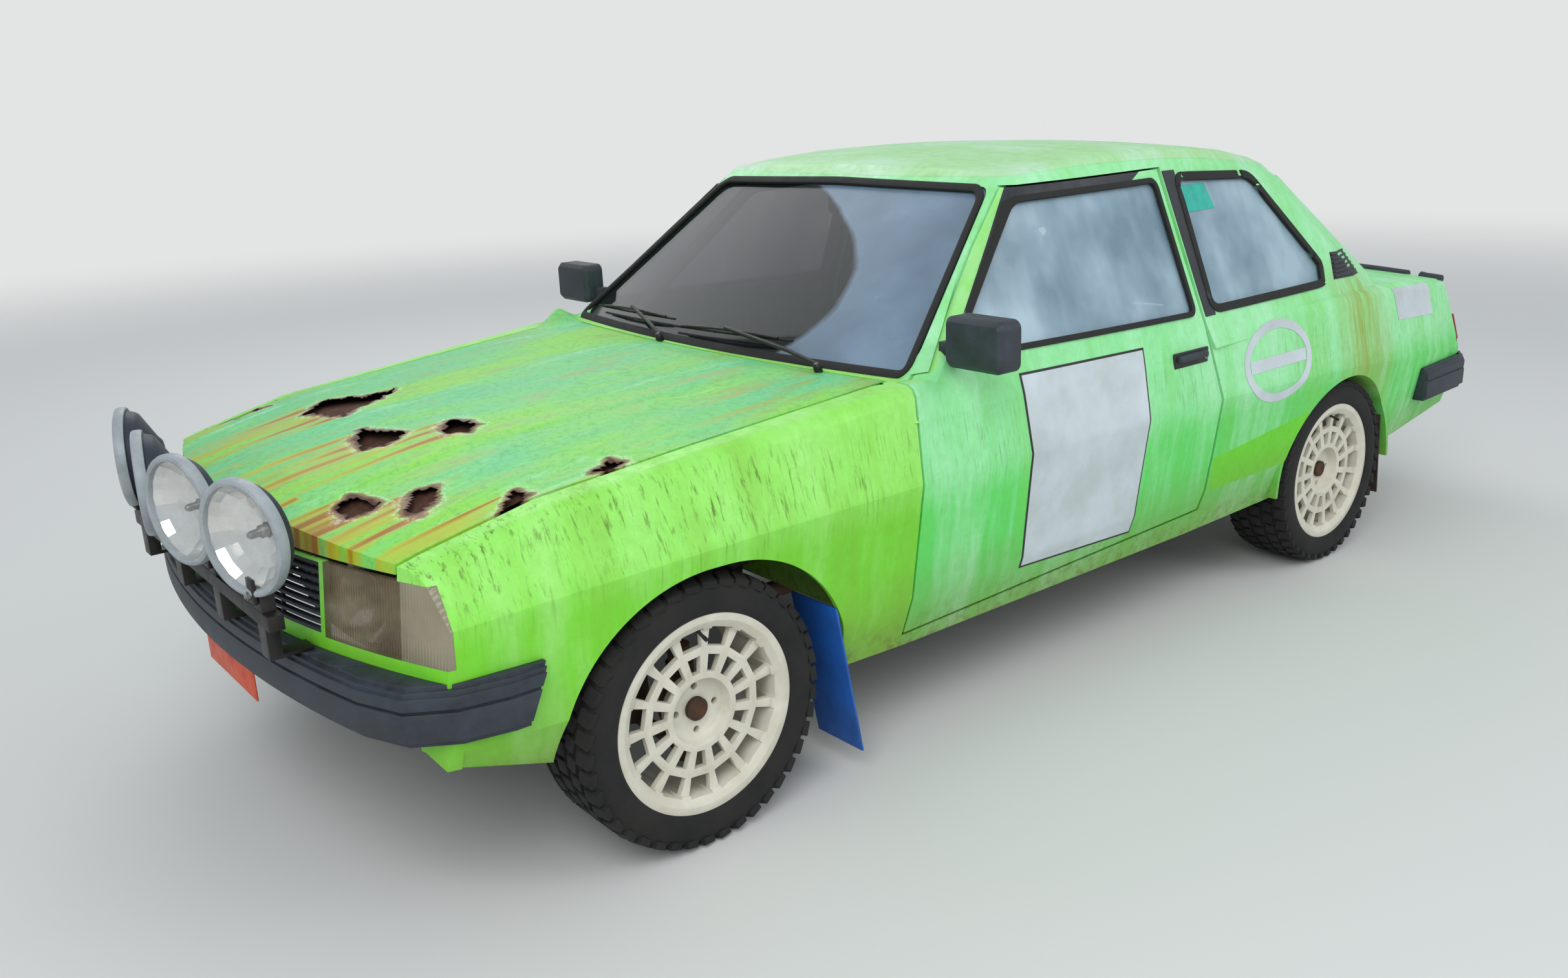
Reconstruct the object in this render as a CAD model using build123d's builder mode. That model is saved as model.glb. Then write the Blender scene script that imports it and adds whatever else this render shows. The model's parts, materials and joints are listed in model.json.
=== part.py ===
from build123d import *
import os
from math import sin, cos, radians, sqrt

os.makedirs("parts", exist_ok=True)

# Driving dimensions, in millimetres. X is across the car (+X its left side),
# Y runs from the front (negative) to the back, Z is up from the ground.
wheelbase = 2518
front_reach = 828          # front axle to the foremost driving lamp
rear_reach = 1068          # rear axle to the back of the rear bumper
half_width = 835           # centre plane to the crease of the doors
roof_height = 1380
axle_height = 302          # also the tyre's radius, as the tyre stands on the ground
track_half = 695           # centre plane to the middle of a tyre
tyre_width = 205
rim_flange_radius = 221
rim_width = 178
rim_window_count = 15
stud_count = 4
stud_pitch_diameter = 100
hub_bore_radius = 26
hub_clearance = 0.3        # radial gap between a stub axle and the rim's bore
seat_gap = 0.3             # gap between a piece and what it seats on
shut_gap = 6.5             # gap round the bonnet, the boot lid and the doors' fronts
door_rear_gap = 12         # the door's rear edge needs room to swing
door_top_gap = 16          # the same at the roof, where the frame lies far inboard
wall = 44                  # thickness of doors, pillars and quarters
skin = 12                  # thickness of wings, nose, bonnet and boot lid
roof_gauge = 20
floor_gauge = 12
glass_gauge = 5
glass_depth = 9            # how far glass lies below the outer surface
front_arch_radius = 355
front_arch_flat = 30       # the front arch is two arcs this far apart
rear_arch_radius = 342
lamp_radius = 115
lamp_depth = 90
lamp_height = 787
cage_tube_radius = 19
steer_pin_radius = 24

overall_length = front_reach + wheelbase + rear_reach
front_end_y = -overall_length / 2
rear_end_y = overall_length / 2
front_axle_y = front_end_y + front_reach
rear_axle_y = front_axle_y + wheelbase

# Stations along the car
nose_y = front_axle_y - 700
wing_front_y = front_axle_y - 530
bonnet_rear_y = front_axle_y + 560
firewall_y = front_axle_y + 640
door_front_y = front_axle_y + 597
door_rear_y = front_axle_y + 1742
kick_up_y = rear_axle_y - 430
boot_front_y = rear_axle_y + 450
tail_y = rear_axle_y + 982
tail_panel_y = rear_axle_y + 800

# Heights
floor_z = 270
boot_floor_z = 440
belt_z = 880
gutter_z = 1308
headlamp_low_z = 570
headlamp_top_z = 720
bumper_top_z = 545
bumper_low_z = 430

# Body sections from nose to tail. Columns: y, then how far the crease, shoulder,
# lower bend and sill lie inside half_width, then the heights of the sill, lower
# bend, crease, shoulder and centre crown.
body_sections = [
    (nose_y - 60, 92, 150, 100, 135, 330, 420, 628, 688, 765),
    (front_axle_y - 520, 52, 118, 66, 104, 312, 404, 645, 754, 812),
    (front_axle_y - 290, 30, 103, 52, 92, 296, 398, 660, 808, 850),
    (front_axle_y + 60, 12, 88, 42, 88, 276, 398, 672, 845, 876),
    (front_axle_y + 620, 3, 44, 38, 84, 262, 400, 680, 898, 908),
    (door_rear_y, 0, 43, 32, 74, 268, 404, 676, 886, 900),
    (rear_axle_y, 6, 52, 38, 70, 284, 410, 650, 876, 892),
    (rear_axle_y + 480, 24, 76, 54, 84, 330, 436, 614, 856, 876),
    (tail_y + 100, 82, 112, 102, 128, 384, 470, 566, 806, 832),
]

# Greenhouse outline. Columns: point, x and distance behind the front axle at
# belt_z, then the same at top_z.
top_z = 1340
greenhouse = {
    "screen_centre": (0, 560, 0, 1152),
    "screen_corner": (744, 628, 533, 1176),
    "pillar": (787, 676, 594, 1222),
    "side_middle": (794, 1740, 606, 1740),
    "side_rear": (748, 2700, 556, 2290),
    "rear_corner": (694, 2872, 516, 2352),
    "rear_centre": (0, 2958, 0, 2396),
}


def flat(point):
    return (point.X, point.Y)


shoulder_reach = 24        # how far the rounding of the shoulder runs each way
shoulder_cut = 9           # how far it takes the corner in
shoulder_slope = 0.09      # the crown's rise just inside the shoulder


def body_loft(inset):
    """The lower body as a closed solid, each face moved in by inset."""
    with BuildPart() as form:
        for y, crease_in, shoulder_in, low_in, sill_in, sill_z, low_z, crease_z, shoulder_z, crown_z in body_sections:
            side = half_width - inset
            crease = Vector(side - crease_in, crease_z)
            shoulder = Vector(side - shoulder_in, shoulder_z - inset)
            to_crown = Vector(-1, shoulder_slope).normalized()
            to_crease = (crease - shoulder).normalized()
            inward = (to_crown + to_crease).normalized()
            corners = [
                flat(shoulder + to_crown * shoulder_reach),
                flat(shoulder + inward * shoulder_cut),
                flat(shoulder + to_crease * shoulder_reach),
                (side - crease_in, crease_z),
                (side - low_in, low_z),
                (side - sill_in, sill_z + inset),
            ]
            mirrored = [(-x, z) for x, z in reversed(corners)]
            with BuildSketch(Plane.XZ.offset(-y)):
                with BuildLine():
                    Polyline(*corners, *mirrored)
                    ThreePointArc(mirrored[-1], (0, crown_z - inset), corners[0])
                make_face()
        loft(ruled=True)
    return form.part


lean_low_z = 560
lean_high_z = 900
nose_lean_back = 34
tail_lean = 150
nose_bow = 165             # how far the nose's ends lie behind its middle


def end_trim(inset):
    """A block whose ends have the bowed nose and the sloping, bowed tail."""
    tail_bow = 100
    with BuildPart() as form:
        # Columns: height, how far the nose and the tail lean in there
        for z, nose_shift, tail_shift in (
            (150, 0, 0), (lean_low_z, 0, 0), (lean_high_z, nose_lean_back, tail_lean),
        ):
            with BuildSketch(Plane.XY.offset(z)):
                front = nose_y + nose_shift + inset
                rear = tail_y - tail_shift - inset
                with BuildLine():
                    ThreePointArc((-800, front + nose_bow), (0, front), (800, front + nose_bow))
                    Polyline((800, front + nose_bow), (900, front + nose_bow + 120), (900, rear - tail_bow - 60))
                    Line((900, rear - tail_bow - 60), (800, rear - tail_bow))
                    ThreePointArc((800, rear - tail_bow), (0, rear), (-800, rear - tail_bow))
                    Polyline((-800, rear - tail_bow), (-900, rear - tail_bow - 60), (-900, front + nose_bow + 120))
                    Line((-900, front + nose_bow + 120), (-800, front + nose_bow))
                make_face()
        loft(ruled=True)
    return form.part


def greenhouse_point(name, z, inset):
    base_x, base_y, high_x, high_y = greenhouse[name]
    share = (z - belt_z) / (top_z - belt_z)
    x = base_x + (high_x - base_x) * share
    y = front_axle_y + base_y + (high_y - base_y) * share
    if name.startswith("screen"):
        return (max(x - inset * 0.6, 0) if x else 0, y + inset * 1.3)
    if name.startswith("rear"):
        return (max(x - inset * 0.6, 0) if x else 0, y - inset * 1.3)
    return (x - inset * 1.08, y)


def greenhouse_loft(inset):
    """The glasshouse and its pillars as a closed solid, without the roof's crown."""
    with BuildPart() as form:
        for z in (belt_z - 60, top_z + 80):
            points = {name: greenhouse_point(name, z, inset) for name in greenhouse}
            mirrored = {name: (-x, y) for name, (x, y) in points.items()}
            with BuildSketch(Plane.XY.offset(z)):
                with BuildLine():
                    ThreePointArc(mirrored["screen_corner"], points["screen_centre"], points["screen_corner"])
                    Line(points["screen_corner"], points["pillar"])
                    ThreePointArc(points["pillar"], points["side_middle"], points["side_rear"])
                    Line(points["side_rear"], points["rear_corner"])
                    ThreePointArc(points["rear_corner"], points["rear_centre"], mirrored["rear_corner"])
                    Line(mirrored["rear_corner"], mirrored["side_rear"])
                    ThreePointArc(mirrored["side_rear"], mirrored["side_middle"], mirrored["pillar"])
                    Line(mirrored["pillar"], mirrored["screen_corner"])
                make_face()
        loft(ruled=True)
    return form.part


roof_edge_reach = 34       # how far the rounding of the roof's side edge runs inward
# Half width of the glasshouse just under the roof. Columns: y, half width
gutter_rows = [
    (front_axle_y + 1210, 600), (front_axle_y + 1740, 610), (front_axle_y + 2300, 560), (front_axle_y + 2600, 500),
]


def roof_crown(inset):
    """A block under the roof's double curve, lowered by inset."""
    far_half = 900
    edge_fall = 48
    peak_y = front_axle_y + 1720
    front_y = front_axle_y + 920
    rear_y = front_axle_y + 2560
    front_drop = 76
    rear_drop = 112
    steps = 8
    with BuildPart() as form:
        for index in range(steps + 1):
            y = front_y + (rear_y - front_y) * index / steps
            if y < peak_y:
                drop = front_drop * ((peak_y - y) / (peak_y - front_y)) ** 2
            else:
                drop = rear_drop * ((y - peak_y) / (rear_y - peak_y)) ** 2
            centre_z = roof_height - drop - inset
            far_y = max(y, gutter_rows[0][0])
            for (near_y, near_half), (next_y, next_half) in zip(gutter_rows, gutter_rows[1:]):
                if near_y <= far_y <= next_y:
                    half = near_half + (next_half - near_half) * (far_y - near_y) / (next_y - near_y)
            half = half - inset * 1.08
            edge_x = half - roof_edge_reach
            edge_z = centre_z - edge_fall * (edge_x / 900) ** 2
            turn = [
                (edge_x, edge_z), (edge_x + roof_edge_reach * 0.6, edge_z - 8),
                (half + 3, edge_z - 26), (far_half, 1000), (far_half, 600),
            ]
            with BuildSketch(Plane.XZ.offset(-y)):
                with BuildLine():
                    ThreePointArc((-edge_x, edge_z), (0, centre_z), (edge_x, edge_z))
                    Polyline(*turn, *[(-x, z) for x, z in reversed(turn)])
                make_face()
        loft(ruled=True)
        with BuildSketch(Plane.XY.offset(600)):
            with Locations((0, front_axle_y + 1700)):
                Rectangle(1800, 2600)
        extrude(amount=640)
    return form.part


def car_form(inset, roof_inset):
    """The whole outer form, moved in by inset and under the roof by roof_inset."""
    lower = body_loft(inset) & end_trim(inset)
    upper = greenhouse_loft(inset) & roof_crown(roof_inset)
    return lower + upper


def prism_x(points, near_x, far_x):
    """A side view outline of (y, z) points, extruded across the car."""
    with BuildPart() as form:
        with BuildSketch(Plane.YZ.offset(near_x)):
            with BuildLine():
                Polyline(*points, close=True)
            make_face()
        extrude(amount=far_x - near_x)
    return form.part


def prism_y(points, near_y, far_y):
    """A front view outline of (x, z) points, extruded along the car."""
    with BuildPart() as form:
        with BuildSketch(Plane.XZ.offset(-near_y)):
            with BuildLine():
                Polyline(*points, close=True)
            make_face()
        extrude(amount=near_y - far_y)
    return form.part


def block(low, high):
    """A plain block between two corners."""
    size = [high[i] - low[i] for i in range(3)]
    centre = [(high[i] + low[i]) / 2 for i in range(3)]
    return Pos(*centre) * Box(*size)


def save(piece, name):
    piece.label = name
    export_step(piece, f"parts/{name}.step")


def window_block(plane, points, radius, shrink, depth):
    """A rounded outline on plane, moved in by shrink and extruded by depth."""
    with BuildPart() as form:
        with BuildSketch(plane) as outline:
            with BuildLine():
                Polyline(*points, close=True)
            make_face()
            fillet(outline.vertices(), radius)
            if shrink:
                offset(amount=-shrink, mode=Mode.REPLACE)
        extrude(amount=depth)
    return form.part


def tube(start, end, radius):
    """A straight round tube between two points."""
    line = Edge.make_line(start, end)
    plane = Plane(origin=start, z_dir=line % 0)
    with BuildPart() as form:
        with BuildSketch(plane):
            Circle(radius)
        extrude(amount=line.length)
    return form.part


def bent_tube(points, bend, radius):
    """A round tube along straight runs joined by bends."""
    with BuildPart() as form:
        with BuildLine() as route:
            FilletPolyline(*points, radius=bend)
        with BuildSketch(Plane(origin=route.line @ 0, z_dir=route.line % 0)):
            Circle(radius)
        sweep()
    return form.part


def across(piece):
    """The same piece on the car's other side."""
    return piece.mirror(Plane.YZ)


left_half = block((0, -3000, 0), (1200, 3000, 2000))

outer = car_form(0, 0)
cabin_inner = car_form(wall, roof_gauge)
skin_inner = car_form(skin, skin)
cabin_shell = outer - cabin_inner
thin_shell = outer - skin_inner
glass_shell = greenhouse_loft(glass_depth) - greenhouse_loft(glass_depth + glass_gauge)
seated_body = body_loft(-seat_gap) & end_trim(-seat_gap)

# Openings in the outer form
far_x = 1200
sill_inner_x = 690
scuttle_half = 715
door_line_y = door_front_y - shut_gap
bonnet_front_half = 655
bonnet_rear_half = 700
bonnet_front_bow = 120
bonnet_rear_bow = 46
bonnet_lip_z = headlamp_top_z + shut_gap


def bonnet_block(grow):
    """Plan outline of the bonnet, whose lip reaches down to the lamps and grille."""
    front = nose_y + bonnet_front_bow
    rear = bonnet_rear_y + grow
    front_half = bonnet_front_half + grow
    rear_half = bonnet_rear_half + grow
    with BuildPart() as form:
        with BuildSketch(Plane.XY.offset(bonnet_lip_z - grow)):
            with BuildLine():
                Polyline((-front_half, front), (-front_half, nose_y - 100), (front_half, nose_y - 100), (front_half, front))
                Line((front_half, front), (rear_half, rear + bonnet_rear_bow))
                ThreePointArc((rear_half, rear + bonnet_rear_bow), (0, rear), (-rear_half, rear + bonnet_rear_bow))
                Line((-rear_half, rear + bonnet_rear_bow), (-front_half, front))
            make_face()
        extrude(amount=500)
    return form.part


boot_half = 638
boot_front_gap = 9         # wider, as the lid turns down behind its hinge
boot_low_z = 612
door_low_z = 300


def boot_block(grow):
    front = boot_front_y - (boot_front_gap if grow else 0)
    half = boot_half + grow
    return block((-half, front, boot_low_z - grow), (half, rear_end_y + 200, 1100))


def door_block(front, rear, rear_top, edge):
    """Side view outline of the left door, grown by a gap on each side."""
    start = door_front_y - front
    points = [
        (start, door_low_z - edge),
        (start + 6, 680),
        (start + 20, 903),
        (front_axle_y + 702 - front, 912 + edge * 0.4),
        (front_axle_y + 1118 - front, 1292 + edge * 0.8),
        (door_rear_y - 14 + rear_top, 1303 + edge * 0.8),
        (door_rear_y - 2 + rear, belt_z + 6),
        (door_rear_y + 40 + rear, 670),
        (door_rear_y + 34 + rear, 520),
        (door_rear_y + 21 + rear, 345 - edge),
    ]
    pillar_base_x, _, pillar_top_x, _ = greenhouse["pillar"]
    frame_depth = wall - 4 + (shut_gap + 1 if front else 0)
    inboard = [
        (pillar_base_x - frame_depth, belt_z),
        (pillar_top_x - frame_depth, top_z),
        (pillar_top_x - frame_depth, 1500),
        (far_x, 1500),
        (far_x, 0),
        (sill_inner_x, 0),
        (sill_inner_x, belt_z - 50),
        (pillar_base_x - frame_depth, belt_z - 50),
    ]
    return prism_x(points, 300, far_x) & prism_y(inboard, front_axle_y, rear_axle_y)


door_gap_block = door_block(shut_gap, door_rear_gap, door_top_gap, shut_gap)
door_zone = door_block(0, 0, 0, 0)

door_window = [
    (front_axle_y + 748, 932),
    (front_axle_y + 1122, 1268),
    (front_axle_y + 1704, 1278),
    (front_axle_y + 1712, 916),
]
quarter_window = [
    (front_axle_y + 1802, 922),
    (front_axle_y + 1808, 1276),
    (front_axle_y + 2214, 1256),
    (front_axle_y + 2464, 976),
    (front_axle_y + 2440, 920),
]
screen_window = [(-730, 903), (730, 903), (552, 1294), (0, 1304), (-552, 1294)]
rear_window = [(-622, 930), (622, 930), (478, 1258), (-478, 1258)]
side_plane = Plane.YZ.offset(300)
screen_plane = Plane.XZ.offset(-(front_axle_y + 1300))
rear_plane = Plane.XZ.offset(-(front_axle_y + 3050))


def arch_block(y, z, radius, flat, near_x, far):
    """The round wheel arch opening, through one side of the car."""
    with BuildPart() as form:
        with BuildSketch(Plane.YZ.offset(near_x)):
            with Locations((y, z)):
                SlotCenterToCenter(flat, 2 * radius) if flat else Circle(radius)
            with Locations((y, z - 300)):
                Rectangle(2 * radius + flat, 600)
        extrude(amount=far - near_x)
    return form.part


front_arch_z = 275
rear_arch_z = 276
front_arch_y = front_axle_y + 30
rear_arch_y = rear_axle_y + 12
front_arch = arch_block(front_arch_y, front_arch_z, front_arch_radius, front_arch_flat, 300, far_x)
rear_arch = arch_block(rear_arch_y, rear_arch_z, rear_arch_radius, 0, 573, far_x)

# Roof panel, split from the sides along the gutter
with BuildPart() as roof_zone:
    with BuildSketch(Plane.YZ.offset(-900)):
        with BuildLine():
            ThreePointArc((front_axle_y + 900, 1294), (front_axle_y + 1720, 1330), (front_axle_y + 2600, 1244))
            Polyline(
                (front_axle_y + 2600, 1244),
                (front_axle_y + 2600, 1500),
                (front_axle_y + 900, 1500),
                (front_axle_y + 900, 1294),
            )
        make_face()
    extrude(amount=1800)
screen_hole = window_block(screen_plane, screen_window, 40, 0, 900)
rear_hole = window_block(rear_plane, rear_window, 40, 0, 700)
roof_panel = (cabin_shell & roof_zone.part) - screen_hole - rear_hole - door_gap_block - across(door_gap_block)
save(roof_panel, "roof_panel")

# Front wings
bonnet_gap_block = bonnet_block(shut_gap)
wing_zone = block((0, wing_front_y, 0), (far_x, door_line_y, 1000))
wing_zone = wing_zone + block((0, door_line_y - 10, door_low_z - shut_gap), (far_x, door_line_y + 40, 1000))
wing_zone = wing_zone + block((0, nose_y - 200, headlamp_top_z), (far_x, wing_front_y + 10, 1000))
wing = thin_shell & wing_zone
wing = wing - bonnet_gap_block - front_arch - door_gap_block
wing = wing - block((-10, -3000, 0), (705, 3000, 400)) - block((-10, -3000, 400), (600, 3000, 1000))
wing = wing - block((-10, bonnet_rear_y, 500), (bonnet_rear_half + shut_gap, 3000, 1000))
wing = wing - block((-10, door_line_y - 10, 500), (scuttle_half, 3000, 1000))
save(wing, "front_wing_left")
save(across(wing), "front_wing_right")

# Sides: hinge post, sill, pillars and rear quarter with its wheelhouse
post_depth = 70
deck_y = front_axle_y + 2700
post_zone = block((scuttle_half, door_line_y - post_depth, 0), (far_x, door_line_y + 20, 1000))
post_zone = post_zone + block((sill_inner_x, door_line_y - post_depth, 0), (far_x, door_line_y + 20, 400))
hinge_post = (skin_inner - cabin_inner) & post_zone
side_shell = cabin_shell & block((0, door_line_y, 0), (1200, tail_panel_y, 1500))
side_shell = side_shell - roof_zone.part - screen_hole - rear_hole
side_shell = side_shell - block((-10, -3000, 0), (sill_inner_x, 3000, 460))
side_shell = side_shell - block((-10, -3000, 500), (scuttle_half, front_axle_y + 720, 905))
side_shell = side_shell - block((-10, deck_y, 500), (boot_half + shut_gap, 3000, 1000))
wheelhouse = arch_block(rear_arch_y, rear_arch_z, rear_arch_radius + skin, 0, 561, 796)
wheelhouse = wheelhouse & block((0, -3000, 284), (1200, 3000, 900))
wheelhouse = wheelhouse - block((500, rear_axle_y - 90, 200), (580, rear_axle_y + 90, 400))
side_left = (side_shell + hinge_post + wheelhouse) - rear_arch - door_gap_block - wing
side_left = side_left - window_block(side_plane, quarter_window, 24, 0, 700)
save(side_left, "side_left")
save(across(side_left), "side_right")

# Nose panel with the lamp and grille openings, and the valance below the bumper
grille_half = 443
lamp_inner_x = 456
headlamp_zone = block((lamp_inner_x, -3000, headlamp_low_z), (1200, wing_front_y + 0, headlamp_top_z))
grille_low_z = 576
grille_top_z = 716
nose = thin_shell & block((-far_x, -3000, 0), (far_x, wing_front_y, headlamp_top_z))
nose = nose - headlamp_zone - across(headlamp_zone)
nose = nose - block((-grille_half, -3000, grille_low_z), (grille_half, 3000, grille_top_z))
nose = nose - block((-690, nose_y + 60, 0), (690, 3000, 500))
valance_cut = [(-660, 0), (-660, 398), (660, 398), (660, 0)]
nose = nose - prism_y(valance_cut, nose_y - 200, wing_front_y + 10)
for side in (1, -1):
    corner_cut = [(640 * side, 0), (640 * side, 398), (700 * side, 392), (800 * side, 330), (900 * side, 0)]
    nose = nose - prism_y(corner_cut, nose_y - 200, wing_front_y + 10)
save(nose, "nose_panel")

# Headlamps fill the corners between grille and wing
lamp_lens = thin_shell & block(
    (lamp_inner_x + seat_gap, -3000, headlamp_low_z + seat_gap),
    (far_x, wing_front_y - seat_gap, headlamp_top_z - seat_gap),
)
save(Compound(children=[lamp_lens, across(lamp_lens)]), "headlamps")

# Grille: slats that follow the nose's bow and lean, tied by upright ribs
slat_count = 8
slat_height = 7
slat_pitch = (grille_top_z - grille_low_z - slat_height) / slat_count
grille_bow = 48            # the nose's bow over the grille's width
rib_places = (-295, -148, 0, 148, 295)


def nose_lean(z):
    """How far the nose leans back at this height."""
    return max(0, nose_lean_back * (z - lean_low_z) / (lean_high_z - lean_low_z))


with BuildPart() as grille:
    half = grille_half - seat_gap
    for index in range(slat_count + 1):
        low = grille_low_z + seat_gap + slat_pitch * index
        front = nose_y + nose_lean(low + slat_height)
        with BuildSketch(Plane.XY.offset(low)):
            with BuildLine():
                ThreePointArc((-half, front + grille_bow), (0, front), (half, front + grille_bow))
                Line((half, front + grille_bow), (half, front + grille_bow + skin))
                ThreePointArc((half, front + grille_bow + skin), (0, front + skin), (-half, front + grille_bow + skin))
                Line((-half, front + grille_bow + skin), (-half, front + grille_bow))
            make_face()
        extrude(amount=slat_height - 2 * seat_gap)
    for x in rib_places:
        bow = grille_bow * (x / grille_half) ** 2
        low = grille_low_z + seat_gap
        high = grille_low_z + slat_pitch * slat_count + slat_height - seat_gap
        with BuildSketch(Plane.YZ.offset(x - 3)):
            with BuildLine():
                Polyline(
                    (nose_y + bow + nose_lean(low) + 4, low), (nose_y + bow + nose_lean(high) + 4, high),
                    (nose_y + bow + nose_lean(high) + skin, high), (nose_y + bow + nose_lean(low) + skin, low),
                    close=True,
                )
            make_face()
        extrude(amount=6)
save(grille.part, "grille")

# Bonnet
bonnet = thin_shell & bonnet_block(0)
save(bonnet, "bonnet")

# Scuttle behind the bonnet, with a plenum floor and the firewall below it
firewall_gauge = 12
plenum_z = 838
scuttle = thin_shell & block((-scuttle_half, bonnet_rear_y, 600), (scuttle_half, front_axle_y + 720, 905))
scuttle = scuttle - bonnet_gap_block - screen_hole
for low_x, high_x in ((-far_x, -bonnet_rear_half - shut_gap), (bonnet_rear_half + shut_gap, far_x)):
    scuttle = scuttle - block((low_x, -3000, 600), (high_x, door_line_y, 1000))
lip_y = bonnet_rear_y + shut_gap + 12
firewall = skin_inner & block((-scuttle_half, firewall_y, 400), (scuttle_half, firewall_y + firewall_gauge, plenum_z))
firewall = firewall + block((-sill_inner_x, firewall_y, floor_z), (sill_inner_x, firewall_y + firewall_gauge, 400))
plenum = skin_inner & block((-scuttle_half, lip_y, plenum_z), (scuttle_half, firewall_y + firewall_gauge, plenum_z + 12))
lip = skin_inner & block((-300, lip_y, plenum_z), (300, lip_y + firewall_gauge, 930))
bonnet_pad = body_loft(skin + seat_gap) & block((560, lip_y, plenum_z), (600, lip_y + 11, 1000))
scuttle = scuttle + firewall + plenum + lip + bonnet_pad + across(bonnet_pad)
save(scuttle, "scuttle")

# Rear deck with the parcel shelf
shelf = cabin_inner & block((-1200, rear_axle_y - 40, 852), (1200, rear_axle_y + 420, 864))
deck = cabin_shell & block((-boot_half - shut_gap, deck_y, 800), (boot_half + shut_gap, boot_front_y - boot_front_gap, 928))
deck = deck - rear_hole
hinge_ledge = block((400, boot_front_y - 40, 822), (440, boot_front_y + 60, 838))
hinge_pad = body_loft(skin + seat_gap) & block((400, boot_front_y + 20, 822), (440, boot_front_y + 60, 900))
deck = deck + shelf + hinge_ledge + hinge_pad + across(hinge_ledge + hinge_pad)
save(deck, "rear_deck")

# Boot lid
boot_lid = thin_shell & boot_block(0)
save(boot_lid, "boot_lid")

# Tail panel with the lamp openings
tail_lamp_zone = block((470, tail_panel_y + 60, 604), (1200, 3000, 742))
tail_shell = cabin_shell & block((-1200, tail_panel_y, 0), (1200, 3000, 1000))
tail_shell = tail_shell - boot_block(shut_gap) - tail_lamp_zone - across(tail_lamp_zone)
save(tail_shell, "tail_panel")
tail_lens = cabin_shell & block((470 + seat_gap, tail_panel_y + 60 + seat_gap, 604 + seat_gap), (1200, 3000, 742 - seat_gap))
tail_lens = tail_lens - boot_block(shut_gap)
save(Compound(children=[tail_lens, across(tail_lens)]), "tail_lamps")

# Floor with tunnel, kick-up and boot floor
with BuildPart() as floor_pan:
    with BuildSketch(Plane.XZ.offset(-kick_up_y)):
        with BuildLine():
            Polyline(
                (-sill_inner_x, floor_z), (-130, floor_z), (-95, floor_z + 130), (95, floor_z + 130), (130, floor_z),
                (sill_inner_x, floor_z), (sill_inner_x, floor_z + floor_gauge), (139, floor_z + floor_gauge),
                (103, floor_z + 142), (-103, floor_z + 142), (-139, floor_z + floor_gauge),
                (-sill_inner_x, floor_z + floor_gauge), close=True,
            )
        make_face()
    extrude(amount=kick_up_y - firewall_y - firewall_gauge)
floor = floor_pan.part + block((-sill_inner_x, kick_up_y, floor_z), (sill_inner_x, kick_up_y + 12, boot_floor_z + 12))
floor = floor + block((-560, kick_up_y, boot_floor_z), (560, tail_panel_y + 120, boot_floor_z + 12))
floor = floor + block((-690, kick_up_y, boot_floor_z), (690, rear_axle_y - 320, boot_floor_z + 12))
floor = floor + block((-690, rear_axle_y + 370, boot_floor_z), (690, tail_panel_y + 100, boot_floor_z + 12))
floor = floor - wheelhouse - across(wheelhouse) - rear_arch - across(rear_arch) - tail_shell - side_left - across(side_left)
save(floor, "floor_pan")

# Inner wings along the engine bay
bay_half = 430
bay_inner = body_loft(skin + 14) & end_trim(skin + 2)
rail_z = 446
inner_wing = bay_inner & block((bay_half, wing_front_y + 20, rail_z), (bay_half + 12, firewall_y, 1000))
inner_wing = inner_wing + block((bay_half - 80, wing_front_y + 20, rail_z), (bay_half + 12, firewall_y, rail_z + 54))
inner_wing = inner_wing - scuttle
save(Compound(children=[inner_wing, across(inner_wing)]), "inner_wings")

# Glass
windscreen = glass_shell & window_block(screen_plane, screen_window, 40, seat_gap, 900)
save(windscreen, "windscreen")
save(glass_shell & window_block(rear_plane, rear_window, 40, seat_gap, 700), "rear_window")
quarter_glass = glass_shell & window_block(side_plane, quarter_window, 24, seat_gap, 700)
save(Compound(children=[quarter_glass, across(quarter_glass)]), "quarter_windows")

# Doors
door = (cabin_shell & door_zone) - window_block(side_plane, door_window, 24, 0, 700)
save(door, "door_left")
save(across(door), "door_right")
door_glass = glass_shell & window_block(side_plane, door_window, 24, seat_gap, 700)
save(door_glass, "door_glass_left")
save(across(door_glass), "door_glass_right")

# Bumpers: courses of one plan outline, each set in by its own amount.
# Columns: height above the bumper's foot at the course's start and end, set in
bumper_courses = [(0, 12, 9), (12, 68, 0), (68, 74, 6), (74, 98, 1), (98, 107, 7), (107, 115, 16)]
front_plan = [(0, -735), (640, -668), (742, -626), (796, -545), (816, -450), (818, -356)]
rear_plan = [(0, rear_reach), (660, rear_reach - 44), (750, rear_reach - 92), (806, rear_reach - 200), (824, 552)]
bumper_slots = (448, 564)      # places of the open slots in the top face


def bumper(plan, axle_y, foot_z, end_y):
    """A wrapped bumper with a grooved face, from plan points of half of it."""
    with BuildPart() as form:
        for low, high, set_in in bumper_courses:
            rows = [(x * (1 - set_in / 900), y + (set_in if y < end_y else -set_in)) for x, y in plan[:-1]]
            rows = [(x, axle_y + y) for x, y in rows + [(plan[-1][0] - set_in, end_y)]]
            with BuildSketch(Plane.XY.offset(foot_z + low)):
                with BuildLine():
                    mirrored = [(-x, y) for x, y in rows[1:]]
                    ThreePointArc(mirrored[0], rows[0], rows[1])
                    Polyline(*rows[1:])
                    Line(rows[-1], mirrored[-1])
                    Polyline(*mirrored)
                make_face()
            extrude(amount=high - low)
    return form.part


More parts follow.
